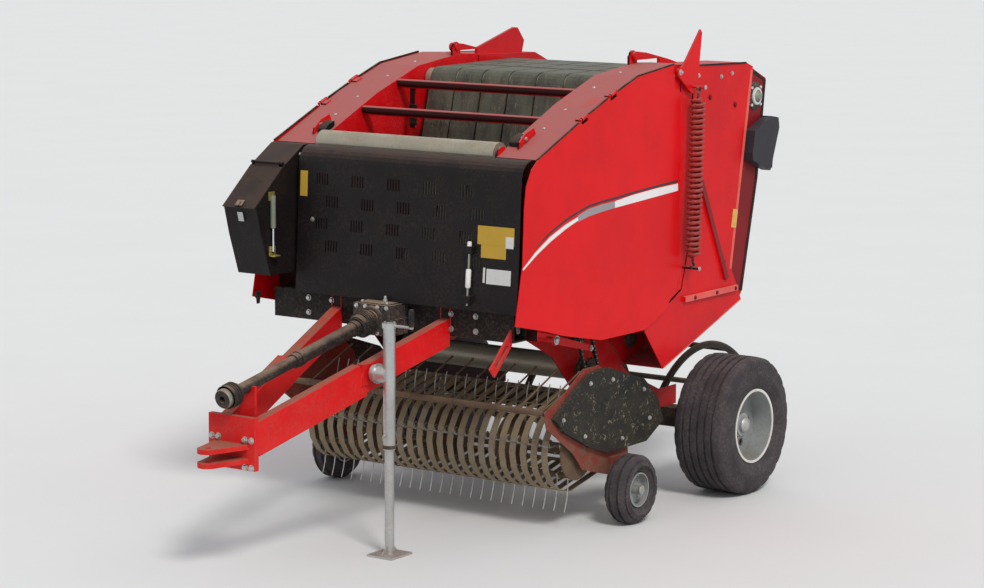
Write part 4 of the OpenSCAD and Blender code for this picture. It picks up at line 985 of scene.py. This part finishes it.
form = Form()
for s in (1, -1):
    out = (0, s, 0)
    for x, z in ((0.330, 2.395), (0.420, 2.395), (0.330, 2.435)):
        form.bolt(at(x, s * FRAME_OUT, z), out, 0.016, 0.007)
    for x, z in ((1.240, 2.250), (1.440, 2.164), (0.960, 2.351), (0.700, 2.418)):
        form.rivet(at(x, s * 0.700, z + 0.003), (0.39, 0, 1), 0.009, 0.005)
form.done("frame_bolts", zinc)
form = Form()
for s in (1, -1):
    out = (0, s, 0)
    for x, z in ((1.560, 0.640), (1.300, 0.800), (1.080, 0.790), (0.760, 0.690),
                 (0.700, 0.520), (0.980, 0.450), (1.350, 0.520)):
        form.bolt(at(x, s * 0.917, z), out, 0.017, 0.008)
form.done("shield_bolts", zinc, PICKUP)

# Hinge pins, spring pins, the roof strap, the axle and the pickup
DOOR_SLOPE = 0.39
hinge_way = Vector((1, 0, -DOOR_SLOPE)).normalized()
for word, s in SIDES:
    form = Form()
    for x in HINGE_X:
        pin = at(x, s * 0.878, 2.280 - DOOR_SLOPE * (x - 1.190))
        for e in (1, -1):
            cap = [(0, 0.0075), (0.003, 0.0075), (0.0045, 0.005)]
            form.knob(pin + hinge_way * e * 0.0345, hinge_way * e, cap, 14)
    form.done("hinge_pin_caps_" + word, zinc, "door_" + word)
    form = Form()
    y0, y1 = both(s, 0.866, 0.8762)
    form.block((1.898, y0, 1.180), (1.940, y1, 1.216))
    form.plate([(1.902, 1.184), (1.936, 1.184), (1.930, 1.146), (1.908, 1.146)], *both(s, 0.867, 0.873))
    form.done("door_catch_" + word, cast, "door_" + word, soften=0.001)
form = Form()
for s in (1, -1):
    for x, z in ((0.250, 2.3243), (0.288, 1.3107)):
        form.knob(at(x, s * 0.9745, z), (0, s, 0), head(0.0130, 0.004, 0.010), 18)
        cotter = [at(x + e, s * 0.962, z + up) for e, up in ((-0.014, 0), (0, 0.0005), (0.014, 0))]
        form.tube(cotter, 0.0016, 6)
    form.knob(at(0.388, s * 0.8955, 2.412), (0, s, 0), head(0.017, 0.005, 0.014), 20)
    form.bolt(at(0.388, s * 0.9015, 2.412), (0, s, 0), 0.017, 0.008)
form.done("spring_pin_heads", zinc)
form = Form()
form.block((0.9765, -0.524, 2.086), (0.9935, -0.480, 2.205))
form.done("strap_sheath", black_rubber_and_shade, slot="dark_plastic", soften=0.003)

RAMP_Y = 0.460
form, bright = Form(), Form()
for s in (1, -1):
    y0, y1 = both(s, RAMP_Y - 0.048, RAMP_Y + 0.048)
    form.block((-0.0615, y0, TYRE_R - 0.046), (-0.0548, y1, TYRE_R + 0.040))
    for y in (RAMP_Y - 0.034, RAMP_Y + 0.034):
        for z in (TYRE_R - 0.032, TYRE_R + 0.026):
            bright.bolt(at(-0.0612, s * y, z), (-1, 0, 0), 0.016, 0.008)
    for y in (0.7705, 0.9350):
        collar = [(0, 0.0295), (0, 0.046), (0.012, 0.046), (0.016, 0.0400), (0.016, 0.0295)]
        form.turned(at(0, s * y, TYRE_R), (0, s, 0), collar, 28)
form.done("axle_fittings", black_low, slot="dark_paint", soften=0.001)
bright.done("axle_bolts", zinc)

BAND_GAPS = TINES - 1
form = Form()
for i in range(BAND_GAPS):
    y = -TINE_SPAN / 2 + (i + 0.5) * TINE_SPAN / BAND_GAPS
    form.bolt(at(1.084, y, 0.6930), (0.275, 0, 0.961), 0.012, 0.005)
form.done("band_bolts", zinc, PICKUP)
form = Form()
for i in range(-6, 7):
    y = i * (PICKUP_HALF - 0.045) / 6
    socket = [(0, 0.0052), (0.004, 0.0075), (0.010, 0.0080), (0.016, 0.0055)]
    form.knob(at(1.306, y, 0.8475), (-0.922, 0, 0.388), socket, 12)
    form.turned(at(1.680, y, 0.690), LEFT, hoop(-0.012, 0.012, 0.0168, 0.0195), 20)
form.done("finger_sockets", earthy, "guard")

# Weld beads where the drawbar meets its plate and its cross sill
form = Form()
for s in (1, -1):
    for e in (1, -1):
        y = s * (0.0950 + e * 0.0315)
        form.tube([at(3.1485 - 0.0008 * (k % 2), y, 0.612 + 0.010 * k) for k in range(16)], 0.0035, 6)
        y = s * (0.3650 + e * 0.0310)
        form.tube([at(1.8615 + 0.0008 * (k % 2), y, 1.100 + 0.010 * k) for k in range(14)], 0.0035, 6)
form.done("weld_beads", paint_low, slot="red_paint")

# Stage

FLOOR_HALF = 300
floor = bpy.data.objects.new("floor", bpy.data.meshes.new("floor"))
tools = bmesh.new()
bmesh.ops.create_grid(tools, x_segments=1, y_segments=1, size=FLOOR_HALF)
tools.to_mesh(floor.data)
tools.free()
into_scene(floor)
ground = Graph("pale_floor")
cloudy = ground.mix(ground.noise(0.8, 3.0), (0.70, 0.70, 0.69, 1), (0.74, 0.74, 0.73, 1))
ground.set(Base_Color=cloudy, Roughness=0.95, Specular_IOR_Level=0.1)
floor.data.materials.append(ground.mat)

world = bpy.data.worlds.new("soft_room")
bpy.context.scene.world = world
world.use_nodes = True
wt = world.node_tree
wt.nodes.clear()


def background(colour, strength):
    n = wt.nodes.new("ShaderNodeBackground")
    n.inputs["Color"].default_value = (*colour, 1)
    n.inputs["Strength"].default_value = strength
    return n.outputs[0]


def larger(a, b):
    n = wt.nodes.new("ShaderNodeMath")
    n.operation = "MAXIMUM"
    wt.links.new(a, n.inputs[0])
    wt.links.new(b, n.inputs[1])
    return n.outputs[0]


ray = wt.nodes.new("ShaderNodeLightPath").outputs
seen = larger(larger(ray["Is Camera Ray"], ray["Is Glossy Ray"]), ray["Is Transmission Ray"])
swap = wt.nodes.new("ShaderNodeMixShader")
wt.links.new(seen, swap.inputs[0])
wt.links.new(background((0.92, 0.95, 1.0), 0.62), swap.inputs[1])
wt.links.new(background((0.80, 0.80, 0.80), 0.96), swap.inputs[2])
wt.links.new(swap.outputs[0], wt.nodes.new("ShaderNodeOutputWorld").inputs["Surface"])


def sun(name, towards, strength, soft, colour=(1, 1, 1)):
    """A distant light that shines from the given direction, evenly over the whole floor."""
    data = bpy.data.lights.new(name, "SUN")
    data.energy = strength
    data.angle = radians(soft)
    data.color = colour
    obj = bpy.data.objects.new(name, data)
    obj.rotation_euler = Vector(towards).to_track_quat("Z", "Y").to_euler()
    into_scene(obj)


sun("key_light", (0.42, 0.62, 0.80), 1.75, 14, (1, 0.98, 0.95))
sun("rear_fill", (-0.75, -0.45, 0.60), 0.45, 60, (0.95, 0.97, 1))

# Camera

HEADING, PITCH, ROLL = radians(-144.929), radians(8.550), radians(0.245)
look = Vector((cos(HEADING) * cos(PITCH), sin(HEADING) * cos(PITCH), -sin(PITCH)))
camera = bpy.data.objects.new("photo_camera", bpy.data.cameras.new("photo_camera"))
camera.location = (12.8994, 9.1703, 3.5554)
camera.rotation_mode = "QUATERNION"
camera.rotation_quaternion = look.to_track_quat("-Z", "Y") @ Matrix.Rotation(ROLL, 3, "Z").to_quaternion()
camera.data.sensor_width = 36
camera.data.lens = 105
camera.data.clip_end = 200
into_scene(camera)
bpy.context.scene.camera = camera
bpy.context.scene.view_settings.view_transform = "Standard"
